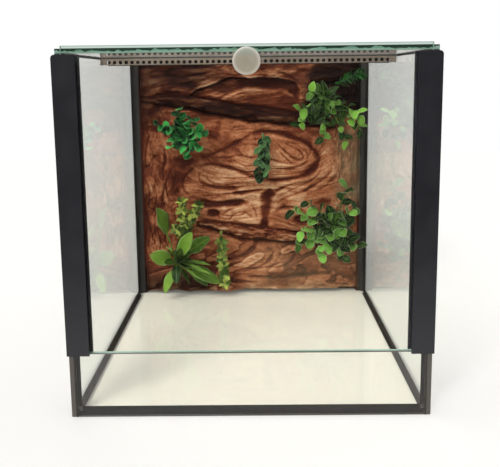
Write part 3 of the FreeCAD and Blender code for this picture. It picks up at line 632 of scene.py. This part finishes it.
# Grain that flows round the knots, and upright bark along both sides
flow = Z + sum(lift * swell(X, Z, *knot) for *knot, lift in KNOTS)
flow = flow + 5 * rough_noise(X / 70, Z / 40, 5, 3)
strands = X + 6 * rough_noise(X / 26, Z / 70, 7, 3)
left_bark = step(-80, -104, X + 8 * noise(Z / 24, Z / 50, 3))
right_bark = step(100, 116, X + 6 * noise(Z / 20, Z / 40, 9))
bark = 0.75 * np.maximum(left_bark, right_bark) * step(24, 60, Z)
bark = bark * step(250, 215, Z + 10 * noise(X / 30, Z / 30, 2))
grain, creases = np.zeros(X.shape), np.zeros(X.shape)
for width, lift, seed in GRAIN:
    streaks = noise(flow / width, X / (6 * width), seed) * (1 - bark)
    streaks += noise(strands / width, Z / (2.6 * width), seed + 50) * bark
    grain += lift * streaks
    creases += lift * np.exp(-(streaks / 0.1) ** 2) * step(-0.1, 0.5, noise(X / 24, Z / 15, seed + 90))
dragged = noise(flow / 2.2, X / 14, 63) * (1 - bark) + noise(strands / 2.4, Z / 8, 64) * bark

# Slanting slabs at the foot take the place of grain
chunky = step(80, 62, Z + 5 * noise(X / 24, Z / 24, 15))
height += (GRAIN_RISE * grain - CREASE_DEPTH * creases) * (1 - 0.55 * chunky)
slabs = noise((X + 0.4 * Z) / 24, (Z - 0.42 * X) / 8, 77) + 0.3 * noise(X / 7, Z / 5, 78)
height += SLAB_RISE * chunky * np.tanh(4 * slabs)
bark_cracks = np.exp(-(rough_noise(X / 20, Z / 32, 21, 3) / 0.1) ** 2)
height += bark * (BARK_RISE * rough_noise(X / 17, Z / 24, 19) - BARK_CRACK * bark_cracks)
tooled = rough_noise(X / 10, flow / 2.6, 29, 3) * (1 - bark) + rough_noise(strands / 2.8, Z / 7, 30, 3) * bark
height += TOOL_MARK * tooled

# The arch: how far each place lies under its lip and over its mound, and the ragged rock round it
lip_line, mound_line = smooth_line(ARCH_LIP), smooth_line(ARCH_MOUND)
under_lip = np.interp(X, *lip_line.T) + 1.2 * rough_noise(X / 14, Z / 14, 35, 3) - Z
over_mound = Z - np.interp(X, *mound_line.T)
in_arch = step(-78, -66, X) * step(64, 56, X)
mound = in_arch * step(3, -4, over_mound) * step(226, 236, Z)
ragged = step(226, 256, Z + 8 * noise(X / 30, Z / 30, 83)) * (1 - 0.8 * mound)
ledges, crumbs = rough_noise(X / 34, (Z - 0.12 * X) / 10, 81), rough_noise(X / 9, Z / 5, 85, 3)
height += ragged * (LEDGE_RISE * ledges + CRUMB_RISE * crumbs)

# Hollows, roots with a cut along their undersides, the arch and the cuts.
# How much wash stays in them, with painted shadow under the roots and under the arch's lip, is summed in one
# map.
wash_and_painted_shadow = 0.45 * creases * (1 - 0.6 * chunky) + 0.5 * chunky * np.exp(-(slabs / 0.09) ** 2)
for a, b, w, h, depth in HOLLOWS:
    hollow = np.exp(-(((X - a) / w) ** 2 + ((Z - b) / h) ** 2) ** 2)
    height -= depth * hollow
    wash_and_painted_shadow += 0.8 * hollow
on_roots, stained = np.zeros(X.shape), np.zeros(X.shape)
for stain, points in ROOTS:
    away, share, radius = from_line(points)
    away = away + 1.6 * rough_noise(X / 18, Z / 9, 23)
    height += np.clip(radius - away ** 2 / radius, 0, None) * (0.85 + 0.2 * noise(X / 7, Z / 3, 25))
    height += ROOT_RIDGE * rough_noise(X / 13, (Z + 0.16 * X) / 4, 27, 3) * step(1, -1, away - radius)
    # The cut under each root is darkened as well, as painted shadow beneath the root
    under = (0.4 + 0.7 * stain) * np.exp(-((away - radius - 0.8) / 2.4) ** 2)
    under = under * (0.4 + 0.6 * step(-0.3, 0.3, noise(X / 22, Z / 22, 39)))
    height -= ROOT_UNDERCUT * under
    wash_and_painted_shadow += 0.32 * under
    on_roots = np.maximum(on_roots, step(1.5, -0.5, away - radius))
    stained = np.maximum(stained, stain * step(2.5, -0.5, away - radius))
recess = in_arch * step(-0.6, 1.2, under_lip) * step(-3, 5, over_mound) * (1 - on_roots)
brow = step(-70, -24, X) * step(67, 57, X) * np.exp(-((under_lip + 3.2) / 2.8) ** 2)
brow = brow * (0.6 + 0.5 * rough_noise(X / 11, Z / 5, 45, 3))
height += BROW_RISE * brow - ARCH_DEPTH * recess
# Under the lip the carved-back hollow is darkened further, as painted shadow
wash_and_painted_shadow += recess * (0.16 + 0.28 * step(13, 2, under_lip))
grooves = np.zeros(X.shape)
for half_width, depth, points in CUTS:
    away, share, _ = from_line(points)
    away = away + rough_noise(X / 12, Z / 12, 31, 3)
    taper = np.clip(np.sin(np.pi * share), 0, 1) ** 0.5 * (0.75 + 0.45 * noise(X / 15, Z / 15, 33))
    walls = STEEP_WALLS if depth > CLEAN_CUT else ROUND_WALLS
    reach = 1.3 * half_width * (0.35 + 0.65 * taper)
    cut = taper * np.exp(-np.abs(away / reach) ** walls) * (1 - 0.8 * on_roots)
    grooves = np.maximum(grooves, cut * depth) + 0.3 * np.minimum(grooves, cut * depth)
lips = spread(np.roll(grooves, -5, axis=0), 2)
height += GROOVE_LIP * lips - GROOVE_DEPTH * grooves
wash_and_painted_shadow += grooves / 4.2

# The uneven foot, and the flat strips that the seals cover
foot = rock_low.z + 3 + 2.2 * noise(X / FOOT_WAVE, X * 0, 37) + 0.8 * noise(X / 9, X * 0, 38)
height -= FOOT_DROP * step(foot + 1.6, foot - 1.6, Z)
inside = step(0, 3, rock_high.x - SEAL_STRIP - np.abs(X))
height = np.clip(height, DEEPEST, HIGHEST) * inside
Y = rock_front - height

# Paint and painted light: how much tan is brushed on, how far painted shade and stain darken it, and where it
# has greyed
# Painted shadow along the overhanging lip of the arch
overhang = step(-66, -40, X) * step(66, 56, X) * step(-7, -2, under_lip) * step(1.5, 0, under_lip)
raised = sum(part * (height - spread(height, reach)) for reach, part in ((2, 1.2), (8, 0.32), (22, 0.1)))
# Painted light: a pool of light over the middle of the rock, and a smaller one on its right flank
lit = swell(X, Z, 14, 130, 92, 90) + 0.6 * swell(X, Z, 92, 172, 26, 42)
# Tan rises on ridges and in the painted light, and falls in the cuts, on the roots and on the lip,
# and in painted shade on the mound inside the arch and along its overhanging lip
brushed = (
    BRUSHED_LEVEL + 0.2 * raised - 0.45 * wash_and_painted_shadow + 0.25 * lit + 0.14 * rough_noise(X / 30, Z / 20, 61)
    + 0.08 * dragged * (1 - 0.7 * chunky) - 0.3 * on_roots - 0.12 * brow - 0.15 * mound - 0.2 * overhang
)
# Painted shade along the side borders, next to the dark seals, and less tan at the very foot
brushed = np.clip(brushed, 0, 1) * (1 - 0.7 * step(127, 137, np.abs(X))) * (1 - 0.4 * step(14, 5, Z))
# Painted shade towards the top, heavier to the left, and a painted shadow in the upper right corner;
# the lip of the arch is kept partly out of it, as painted light on the ledge
top_painted_shade = (0.5 + 0.34 * step(-16, -70, X)) * step(244, 280, Z + 7 * rough_noise(X / 26, Z / 16, 71))
corner_painted_shadow = step(58, 80, X + 7 * noise(Z / 14, Z / 30, 67)) * step(216, 242, Z)
shade = np.maximum(corner_painted_shadow, top_painted_shade) * (1 - 0.4 * brow)
# More painted shade on the upper left and along the left edge, the roots' own stain, darker along the foot,
# and a painted shadow under the broad-leaved plant
for darkening in (
    0.68 * step(-90, -126, X) * step(196, 244, Z), stained, 0.16 * step(-92, -126, X),
    0.4 * step(30, 4, Z + 6 * noise(X / 26, X / 50, 73)),
    0.85 * step(-36, -62, X) * step(54, 26, Z + 6 * noise(X / 18, Z / 30, 75)),
):
    shade = np.maximum(shade, darkening)
greyed = step(98, 120, X) * step(104, 140, Z) * step(228, 200, Z)
greyed = np.maximum(greyed, 0.5 * step(84, 50, Z) * step(-40, 30, X))

# The carved face, its edges and a flat back
rows_up, steps_across = X.shape
front = np.dstack((X, Y, Z)).reshape(-1, 3)
index = np.arange(rows_up * steps_across).reshape(rows_up, steps_across)
rim_loop = np.concatenate((index[0, :-1], index[:-1, -1], index[-1, :0:-1], index[:0:-1, 0]))
back = front[rim_loop] * (1, 0, 1) + (0, rock_high.y, 0)
quads = np.dstack((index[:-1, :-1], index[:-1, 1:], index[1:, 1:], index[1:, :-1])).reshape(-1, 4).tolist()
first_back = len(front)
count = len(rim_loop)
sides = [(int(a), first_back + k, first_back + (k + 1) % count, int(b))
         for k, (a, b) in enumerate(zip(rim_loop, np.roll(rim_loop, -1)))]
rear = [list(range(first_back, first_back + count))[::-1]]
rock_mesh = bpy.data.meshes.new("rock_carved")
rock_mesh.from_pydata((np.vstack((front, back)) * MM).tolist(), [], quads + sides + rear)
rock_mesh.polygons.foreach_set("use_smooth", [True] * len(quads) + [False] * (len(sides) + 1))
for name, values in (("brushed", brushed), ("shade", shade), ("greyed", greyed)):
    held = rock_mesh.attributes.new(name, "FLOAT", "POINT")
    held.data.foreach_set("value", np.concatenate((values.ravel(), np.zeros(count))).astype(np.float32))
rock = placed("rock_background_carved", rock_mesh)
ROCK_DARK = "#43190d"
ROCK_WASH = "#70361f"
ROCK_TAN = "#ad6c48"
ROCK_DRY_BRUSH = "#e0b48c"
ROCK_SHADE = "#3c322d"
ROCK_GREY = "#8c7d60"
BLOTCH = 22
BRISTLE_MARK, BRISTLE_RELIEF = 2.6, 0.9


painted, tree = material("painted_carved_foam")
place = add(tree, "TexCoord").outputs["Object"]
blotches = add(tree, "TexNoise", {"Vector": place, "Scale": 1 / (BLOTCH * MM), "Detail": 5})
# Brush marks are really finer than this, and are drawn coarser so that they show
bristles = add(tree, "TexNoise", {
    "Vector": place, "Scale": 1 / (BRISTLE_MARK * MM), "Detail": 5, "Roughness": 0.7})
brushed_and_lit = add(tree, "Attribute", attribute_name="brushed").outputs["Fac"]
# The lightest speckles are partly dry-brush marks and partly painted glints of a wet-looking sheen
spotted_with_glints = add(tree, "Math", {0: bristles, 1: 0.6, 2: brushed_and_lit}, operation="MULTIPLY_ADD")
even = add(tree, "Math", {0: spotted_with_glints, 1: 0.3}, operation="SUBTRACT")
coats = add(tree, "ValToRGB", {0: even})
coats.color_ramp.elements[0].position = 0.12
coats.color_ramp.elements[0].color = linear(ROCK_DARK)
coats.color_ramp.elements[1].position = 0.92
coats.color_ramp.elements[1].color = linear(ROCK_DRY_BRUSH)
coats.color_ramp.elements.new(0.38).color = linear(ROCK_WASH)
coats.color_ramp.elements.new(0.62).color = linear(ROCK_TAN)
# Painted shade, together with the roots' stain, is multiplied over the coats
darker = add(tree, "Attribute", attribute_name="shade").outputs["Fac"]
shaded = add(tree, "MixRGB", {0: darker, 1: coats, 2: ROCK_SHADE}, blend_type="MULTIPLY")
grey_part = add(tree, "Attribute", attribute_name="greyed").outputs["Fac"]
greyed_half = add(tree, "Math", {0: grey_part, 1: blotches}, operation="MULTIPLY")
coloured = add(tree, "MixRGB", {0: greyed_half, 1: shaded, 2: ROCK_GREY})
sealed = add(tree, "MapRange", {0: blotches, 1: 0.3, 2: 0.7, 3: 0.4, 4: 0.65})
tooth = add(tree, "Bump", {"Height": bristles, "Strength": 0.8, "Distance": BRISTLE_RELIEF * MM})
paint = add(tree, "BsdfPrincipled", {
    "Base Color": coloured, "Roughness": sealed, "Specular IOR Level": 0.06, "Normal": tooth})
add(tree, "OutputMaterial", {"Surface": paint})
rock_mesh.materials.append(painted)
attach(rock, "tank")
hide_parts("rock_background")

# Plants: moulded plastic greenery, each on a peg pushed into the foam.
# Every leaf is thin soft plastic with a pressed midrib. Leaves differ in tone at random, and those nearer the
# crown are darker, as painted shade.
GOLDEN_ANGLE = math.radians(137.5)
CROWN_REACH = 16
PEG_DEPTH = 12
PEG_RADIUS = 1.6
STEM_RADIUS = 0.8
STEM_SIDES = 6
STEM_PIECES = 8
STEM_BOW = 3
STEM_MARK = (0.5, 0.0, 0.15)
STALK_RADIUS = 1.0
LEAF_THICKNESS = 0.45
LEAST_HALF_WIDTH = 0.12
LEAF_LIGHT = (0, -0.7, 0.7)
LEAF_LEAN = 0.55
LEAF_GROWTH = (0.78, 1.2)
LEAF_WAVE = 0.12
LEAF_ALONG, LEAF_BESIDE = 0.55, 0.8
LEAF_TONES = (0.26, 0.92)
LEAF_MOTTLE = 6
VEIN_TURNS, VEIN_SLANT, VEIN_RELIEF = 44.0, -0.35, 0.3
# A leaf kind: length, width, where it is widest, how blunt it is, its cup and its droop
LEAVES = {
    "round": (10.5, 9.4, 0.5, 0.5, 0.32, 0.18),
    "ivy": (10.6, 9, 0.42, 0.6, 0.15, 0.2),
    "pointed": (12, 8.2, 0.42, 0.7, 0.2, 0.3),
    "fern": (9.5, 2.5, 0.4, 0.8, 0.1, 0.2),
    "oval": (14, 11, 0.46, 0.64, 0.18, 0.2),
    "floret": (8.6, 4.2, 0.5, 0.75, 0.12, 0.1),
}
FLORET_RING = 8
# Dark leaves close round the crown of a full plant, put there as painted shade in its heart
FULL_PLANT = 5
SHADE_LEAVES, SHADE_LEAF_LENGTH, SHADE_LEAF_WIDTH = 9, 1.6, 1.3
# A plant: its crown from the rock's edges, leaf kind, leaves on each stem, tips, its shades and its paler rim
PLANTS = {
    "round_leaf_plant": (("left", 62), ("top", -85), "round", 8, (
        (-4, 30, 24), (16, 20, 28), (27, 4, 26), (22, -14, 30), (8, -24, 28), (-12, -15, 26), (-14, 9, 28),
        (-31, 12, 22)),
        ("#021408", "#58dc6c", "#a6e49b", 0.55), "emerald_leaf"),
    "hanging_sprig": (("middle", 16), ("top", -88), "ivy", 16, ((-4, -50, 24), (2, -42, 20)),
                      ("#081408", "#70a45e", "#aec49e", 0.5), "dark_leaf"),
    "pointed_leaf_sprigs": (("right", -52), ("top", -43), "pointed", 10, (
        (-34, -32, 32), (-32, -13, 38), (-18, 8, 28), (-4, -48, 34), (25, -52, 30), (41, -38, 34),
        (40, -20, 38)),
        ("#071a05", "#7cb042", "#b6d09a", 0.5), "bright_leaf"),
    "fern_sprig": (("right", -36), ("top", -25), "fern", 30, ((28, 11, 24),),
                   ("#072207", "#367f2c", "#86b27c", 0.3), "dark_leaf"),
    "variegated_bush": (("right", -40), ("foot", 92), "oval", 9, (
        (-34, 32, 28), (14, 52, 28), (-52, 21, 24), (-42, -4, 30), (-46, -22, 24), (-20, -32, 32),
        (24, 24, 28), (24, -22, 38), (8, -38, 30)),
        ("#0d150b", "#80b84c", "#c6d8a6", 0.7), "variegated_leaf"),
    "floret_spray": (("left", 60), ("foot", 80), "floret", 32, (
        (0, 47, 26), (21, 42, 24), (-10, 12, 22), (4, 22, 24)),
        ("#1e360c", "#b6c456", "#d2da9c", 0.3), "floret"),
    "floret_trail": (("left", 106), ("foot", 82), "floret", 48, ((5, -64, 22),),
                     ("#2c4c18", "#b2c05a", "#d0d898", 0.3), "floret"),
}
BROAD_CROWN = (("left", 49), ("foot", 48))
# A broad leaf: how far right and up its tip is, its reach, its width, the share that is stalk, and its shade
BROAD_LEAVES = (
    (-17, 66, 30, 21, 0.56, 0.5), (-28, 13, 36, 19, 0.2, 0.75), (-14, -38, 34, 12, 0.3, 0.85),
    (20, 38, 44, 14, 0.25, 0.95), (10, 24, 48, 11, 0.25, 0.35), (-6, 30, 50, 9, 0.6, 1.0),
    (46, 36, 34, 19, 0.38, 0.25), (52, 3, 40, 4.5, 0.05, 0.8), (50, -4, 38, 4.5, 0.05, 0.35),
    (46, -9, 42, 4.5, 0.05, 0.9), (40, 8, 42, 5, 0.05, 0.3), (32, -14, 44, 4.5, 0.05, 0.6),
    (40, -1, 46, 4.5, 0.05, 0.6), (56, -26, 26, 17, 0.35, 0.4), (44, -33, 24, 11, 0.4, 0.3),
    (20, -30, 26, 10, 0.3, 0.1), (16, 8, 38, 15, 0.15, 0.05), (28, -1, 34, 15, 0.15, 0.0),
    (-13, 4, 40, 13, 0.15, 0.2), (4, 18, 40, 13, 0.15, 0.1), (24, 18, 36, 14, 0.2, 0.1),
    (2, -20, 34, 10, 0.2, 0.05),
)
# Its form: where it is widest, how blunt it is, its cup, its droop, and steps along and across it
BROAD_FORM = (0.45, 0.65, 0.2, 0.06, 14, 6)
BROAD_SHADES = ("#0d2807", "#80a83e", "#b6cc94", 0.35)


class Foliage:
    """Vertices and faces of one moulding, with where each point lies on its leaf and that leaf's shade."""

    def __init__(self, seed):
        self.verts, self.faces, self.marks = [], [], []
        self.dice = np.random.default_rng(seed)

    def tube(self, line, radius):
        """A stem along a line."""
        self.faces += tube_faces(len(self.verts), len(line), STEM_SIDES)
        for number, point in enumerate(line):
            run = (line[min(number + 1, len(line) - 1)] - line[max(number - 1, 0)]).normalized()
            side = run.cross(Vector((0.3, 0.9, 0.2))).normalized()
            other = run.cross(side)
            for k in range(STEM_SIDES):
                a = 2 * math.pi * k / STEM_SIDES
                self.verts.append(point + (side * math.cos(a) + other * math.sin(a)) * radius)
                self.marks.append(STEM_MARK)

    def leaf(self, base, direction, shade, length, width, widest, blunt, cup, droop,
             along_steps=8, across_steps=6):
        """A leaf that turns its face to the door and up, cupped along its midrib, with its tip drooping."""
        along = direction.normalized()
        light = Vector(LEAF_LIGHT) + Vector(self.dice.uniform(-LEAF_LEAN, LEAF_LEAN, 3))
        face = (light - along * light.dot(along)).normalized()
        side = along.cross(face)
        grown = float(self.dice.uniform(*LEAF_GROWTH))
        length, width = length * grown, width * grown
        power = math.log(0.5) / math.log(widest)
        sheets = []
        for lift in (0.5, -0.5):
            first = len(self.verts)
            sheets.append(first)
            for i in range(along_steps + 1):
                a = i / along_steps
                half = width / 2 * max(math.sin(math.pi * a ** power), 0.0) ** blunt + LEAST_HALF_WIDTH
                for j in range(across_steps + 1):
                    b = 2 * j / across_steps - 1
                    wave = LEAF_WAVE * half * math.sin(9 * a + 5 * shade) * b
                    rise = cup * half * b * b - droop * length * a * a + wave
                    self.verts.append(base + along * (a * length) + side * (b * half)
                                      + face * (rise + lift * LEAF_THICKNESS))
                    self.marks.append((a, b, shade))
        row = across_steps + 1
        upper, lower = sheets
        for i in range(along_steps):
            for j in range(across_steps):
                a = i * row + j
                self.faces.append((upper + a, upper + a + 1, upper + a + row + 1, upper + a + row))
                self.faces.append((lower + a, lower + a + row, lower + a + row + 1, lower + a + 1))
        border = list(range(row)) + [i * row + row - 1 for i in range(1, along_steps + 1)]
        border += [along_steps * row + j for j in range(row - 2, -1, -1)]
        border += [i * row for i in range(along_steps - 1, 0, -1)]
        for a, b in zip(border, border[1:] + border[:1]):
            self.faces.append((upper + a, lower + a, lower + b, upper + b))

    def piece(self, name, node, made, slot):
        """The moulding as one object in place of its node."""
        mesh = bpy.data.meshes.new(name)
        mesh.from_pydata([v * MM for v in self.verts], [], self.faces)
        mesh.polygons.foreach_set("use_smooth", [True] * len(self.faces))
        marks = np.array(self.marks, np.float32)
        for column, label in enumerate(("along_leaf", "across_leaf", "leaf_shade")):
            held = mesh.attributes.new(label, "FLOAT", "POINT")
            held.data.foreach_set("value", np.ascontiguousarray(marks[:, column]))
        mesh.materials.append(made)
        plant = placed(name, mesh)
        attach(plant, "tank")
        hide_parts(node)


def leaf_plastic(name, dark, light, rim, rim_share):
    """Moulded leaf plastic: a paler midrib, side veins and rim, the rim strongest on a variegated kind."""
    made, tree = material(name)
    along = add(tree, "Attribute", attribute_name="along_leaf").outputs["Fac"]
    beside = add(tree, "Attribute", attribute_name="across_leaf").outputs["Fac"]
    shade = add(tree, "Attribute", attribute_name="leaf_shade").outputs["Fac"]
    out = add(tree, "Math", {0: beside}, operation="ABSOLUTE")
    place = add(tree, "TexCoord").outputs["Object"]
    mottle = add(tree, "TexNoise", {"Vector": place, "Scale": 1 / (LEAF_MOTTLE * MM), "Detail": 3})
    mixed = add(tree, "Math", {0: mottle, 1: 0.5, 2: shade}, operation="MULTIPLY_ADD")
    tone = add(tree, "Math", {0: mixed, 1: 0.25}, operation="SUBTRACT", use_clamp=True)
    blade = add(tree, "MixRGB", {0: tone, 1: dark, 2: light})
    slant = add(tree, "Math", {0: out, 1: VEIN_SLANT, 2: along}, operation="MULTIPLY_ADD")
    wave = add(tree, "Math", {0: slant, 1: VEIN_TURNS}, operation="MULTIPLY")
    veins = add(tree, "Math", {0: wave}, operation="SINE")
    midrib = add(tree, "MapRange", {0: out, 1: 0.0, 2: 0.14, 3: 1.0, 4: 0.0})
    fine = add(tree, "MapRange", {0: veins, 1: 0.8, 2: 1.0, 3: 0.0, 4: 0.5})
    pressed = add(tree, "Math", {0: midrib, 1: fine}, operation="MAXIMUM")
    paler = add(tree, "Math", {0: pressed, 1: 0.35}, operation="MULTIPLY")
    veined = add(tree, "MixRGB", {0: paler, 1: blade, 2: light})
    # The paler rim is partly the margin's own colour, strongest on the variegated kind, and partly a painted
    # highlight, fainter on darker leaves
    edge = add(tree, "Math", {0: mottle, 1: 0.3, 2: out}, operation="MULTIPLY_ADD")
    at_rim = add(tree, "MapRange", {0: edge, 1: 0.92, 2: 1.18})
    strength = add(tree, "MapRange", {0: tone, 1: 0.0, 2: 0.6, 3: 0.3 * rim_share, 4: rim_share})
    pale_edge_and_highlight = add(tree, "Math", {0: at_rim, 1: strength}, operation="MULTIPLY")
    coloured = add(tree, "MixRGB", {0: pale_edge_and_highlight, 1: veined, 2: rim})
    relief = add(tree, "Bump", {"Height": pressed, "Strength": 0.4, "Distance": VEIN_RELIEF * MM})
    skin = add(tree, "BsdfPrincipled", {
        "Base Color": coloured, "Roughness": 0.36, "Specular IOR Level": 0.1, "Normal": relief})
    add(tree, "OutputMaterial", {"Surface": skin})
    return made


def crown_place(side, level):
    """Where a plant's crown stands, measured from the rock's edges."""
    edges = {"left": rock_low.x, "middle": 0, "right": rock_high.x, "foot": rock_low.z, "top": rock_high.z}
    x, z = (edges[edge] + distance for edge, distance in (side, level))
    return Vector((x, rock_front - CROWN_REACH, z))


def bent(start, finish, bow):
    """A stem from start to finish that bows out towards the door and up."""
    line = []
    for k in range(STEM_PIECES + 1):
        t = k / STEM_PIECES
        line.append(start.lerp(finish, t) + Vector((0, -0.8, 0.6)) * (4 * t * (1 - t) * bow))
    return line


for seed, (node, (side, level, kind, count, tips, shades, slot)) in enumerate(PLANTS.items()):
    moulding = Foliage(seed)
    crown = crown_place(side, level)
    moulding.tube([Vector((crown.x, rock_front + PEG_DEPTH, crown.z)), crown], PEG_RADIUS)
    if len(tips) >= FULL_PLANT:
        length, width, *form = LEAVES[kind]
        # Dark leaves round the crown, as painted shade in the heart of the plant
        for number in range(SHADE_LEAVES):
            turn = number * GOLDEN_ANGLE
            outward = Vector((math.cos(turn), -0.25, math.sin(turn)))
            moulding.leaf(crown + outward, outward, 0.0, SHADE_LEAF_LENGTH * length, SHADE_LEAF_WIDTH * width, *form)
    for right, up, reach in tips:
        finish = Vector((crown.x + right, rock_front - reach, crown.z + up))
        line = bent(crown, finish, STEM_BOW)
        moulding.tube(line, STEM_RADIUS)
        axis = (finish - crown).normalized()
        beside = axis.cross(Vector((0, 1, 0))).normalized()
        forward = beside.cross(axis)
        ring = FLORET_RING if kind == "floret" else 1
        for number in range(count):
            t = (number // ring + 1.0) / (count / ring + 0.2)
            piece = int(t * STEM_PIECES)
            base = line[piece].lerp(line[min(piece + 1, STEM_PIECES)], t * STEM_PIECES - piece)
            if kind == "floret":
                turn = 2 * math.pi * number / ring + number // ring
                direction = Vector((math.cos(turn), -0.45, math.sin(turn)))
            else:
                turn = number * GOLDEN_ANGLE
                outward = beside * math.cos(turn) - forward * abs(math.sin(turn))
                direction = axis * LEAF_ALONG + outward * LEAF_BESIDE
            # Leaves nearer the crown are darker, as painted shade, and each leaf's tone differs at random
            shade = (0.3 + 0.7 * t) * float(step(*LEAF_TONES, moulding.dice.uniform()))
            moulding.leaf(base, direction, shade, *LEAVES[kind])
    moulding.piece(node + "_moulded", node, leaf_plastic("moulded_" + node, *shades), slot)
broad = Foliage(50)
crown = crown_place(*BROAD_CROWN)
broad.tube([Vector((crown.x, rock_front + PEG_DEPTH, crown.z)), crown], PEG_RADIUS)
for right, up, reach, width, stalk, shade in BROAD_LEAVES:
    run = Vector((crown.x + right, rock_front - reach, crown.z + up)) - crown
    broad.tube([crown, crown + run * (stalk + 0.1)], STALK_RADIUS)
    broad.leaf(crown + run * stalk, run, shade, run.length * (1 - stalk), width, *BROAD_FORM)
broad.piece("broad_leaf_plant_moulded", "broad_leaf_plant", leaf_plastic("moulded_broad_leaf", *BROAD_SHADES),
            "broad_leaf")

# Floor, light and camera: a plain white table, and soft studio light from above the door.
# The floor shows white to the eye and keeps the shadow of the tank.
FLOOR = "#f4f2ee"
FLOOR_LIFT = 0.14
FLOOR_HALF_WIDTH, FLOOR_FRONT, FLOOR_BACK, FLOOR_LEVEL = 1.5, -0.42, 1.5, -0.0002
floor_mesh = bpy.data.meshes.new("floor")
floor_mesh.from_pydata([(x, y, FLOOR_LEVEL) for x, y in (
    (-FLOOR_HALF_WIDTH, FLOOR_FRONT), (FLOOR_HALF_WIDTH, FLOOR_FRONT),
    (FLOOR_HALF_WIDTH, FLOOR_BACK), (-FLOOR_HALF_WIDTH, FLOOR_BACK))], [], [(0, 1, 2, 3)])
floor = placed("floor", floor_mesh)
matt_white, tree = material("matt_white_table")
ray = add(tree, "LightPath").outputs
seen = add(tree, "Math", {0: ray["Is Camera Ray"], 1: ray["Is Glossy Ray"]}, operation="MAXIMUM")
shown = add(tree, "Math", {0: seen, 1: ray["Is Transmission Ray"]}, operation="MAXIMUM")
lift = add(tree, "Math", {0: shown, 1: FLOOR_LIFT}, operation="MULTIPLY")
table = add(tree, "BsdfPrincipled", {
    "Base Color": FLOOR, "Roughness": 0.9, "Emission Color": (1, 1, 1, 1), "Emission Strength": lift})
add(tree, "OutputMaterial", {"Surface": table})
floor_mesh.materials.append(matt_white)

# The room is a pale backdrop behind the tank and dim behind the camera, so the door shows little glare
DIM_ROOM = 0.1
FILL = 0.65
world = bpy.data.worlds.new("studio")
bpy.context.scene.world = world
world.use_nodes = True
tree = world.node_tree
tree.nodes.clear()
ray = add(tree, "LightPath").outputs
facing = add(tree, "SeparateXYZ", {0: add(tree, "TexCoord").outputs["Generated"]}).outputs
behind = add(tree, "MapRange", {0: facing["Y"], 1: -0.5, 2: 0.3, 3: DIM_ROOM, 4: 1.0})
above = add(tree, "MapRange", {0: facing["Z"], 1: 0.35, 2: 0.8, 3: 0.0, 4: 1.0})
room = add(tree, "Math", {0: behind, 1: above}, operation="MAXIMUM")
mirrored = add(tree, "Math", {0: ray["Is Glossy Ray"], 1: room}, operation="MULTIPLY")
seen = add(tree, "Math", {0: ray["Is Camera Ray"], 1: ray["Is Transmission Ray"]}, operation="MAXIMUM")
shown = add(tree, "Math", {0: seen, 1: mirrored}, operation="MAXIMUM")
filled = add(tree, "Math", {0: ray["Is Diffuse Ray"], 1: FILL}, operation="MULTIPLY")
level = add(tree, "Math", {0: shown, 1: filled}, operation="MAXIMUM")
sky = add(tree, "Background", {"Color": (1, 1, 1, 1), "Strength": level})
add(tree, "OutputWorld", {"Surface": sky})

KEY_STRENGTH = 1.5
KEY_SPREAD = 28
KEY_WAY = (0.42, 0.78, -0.95)
key = bpy.data.lights.new("key_light", "SUN")
key.energy = KEY_STRENGTH
key.angle = math.radians(KEY_SPREAD)
key_light = placed("key_light", key)
key_light.rotation_euler = Vector(KEY_WAY).to_track_quat("-Z", "Y").to_euler()

CAMERA_PLACE = (5.2, -605.0, 282.0)
CAMERA_YAW, CAMERA_PITCH, CAMERA_ROLL = -0.43, 7.57, -0.66
CAMERA_LENS, CAMERA_SENSOR = 42.0, 36
CAMERA_SHIFT = -0.16
lens = bpy.data.cameras.new("camera")
lens.lens = CAMERA_LENS
lens.sensor_width = CAMERA_SENSOR
lens.sensor_fit = "HORIZONTAL"
lens.shift_y = CAMERA_SHIFT
camera = placed("camera", lens)
camera.matrix_world = (
    Matrix.Translation(Vector(CAMERA_PLACE) * MM)
    @ Matrix.Rotation(math.radians(-CAMERA_YAW), 4, "Z")
    @ Matrix.Rotation(math.radians(90 - CAMERA_PITCH), 4, "X")
    @ Matrix.Rotation(math.radians(CAMERA_ROLL), 4, "Z")
)
bpy.context.scene.camera = camera
bpy.context.scene.view_settings.view_transform = "Standard"
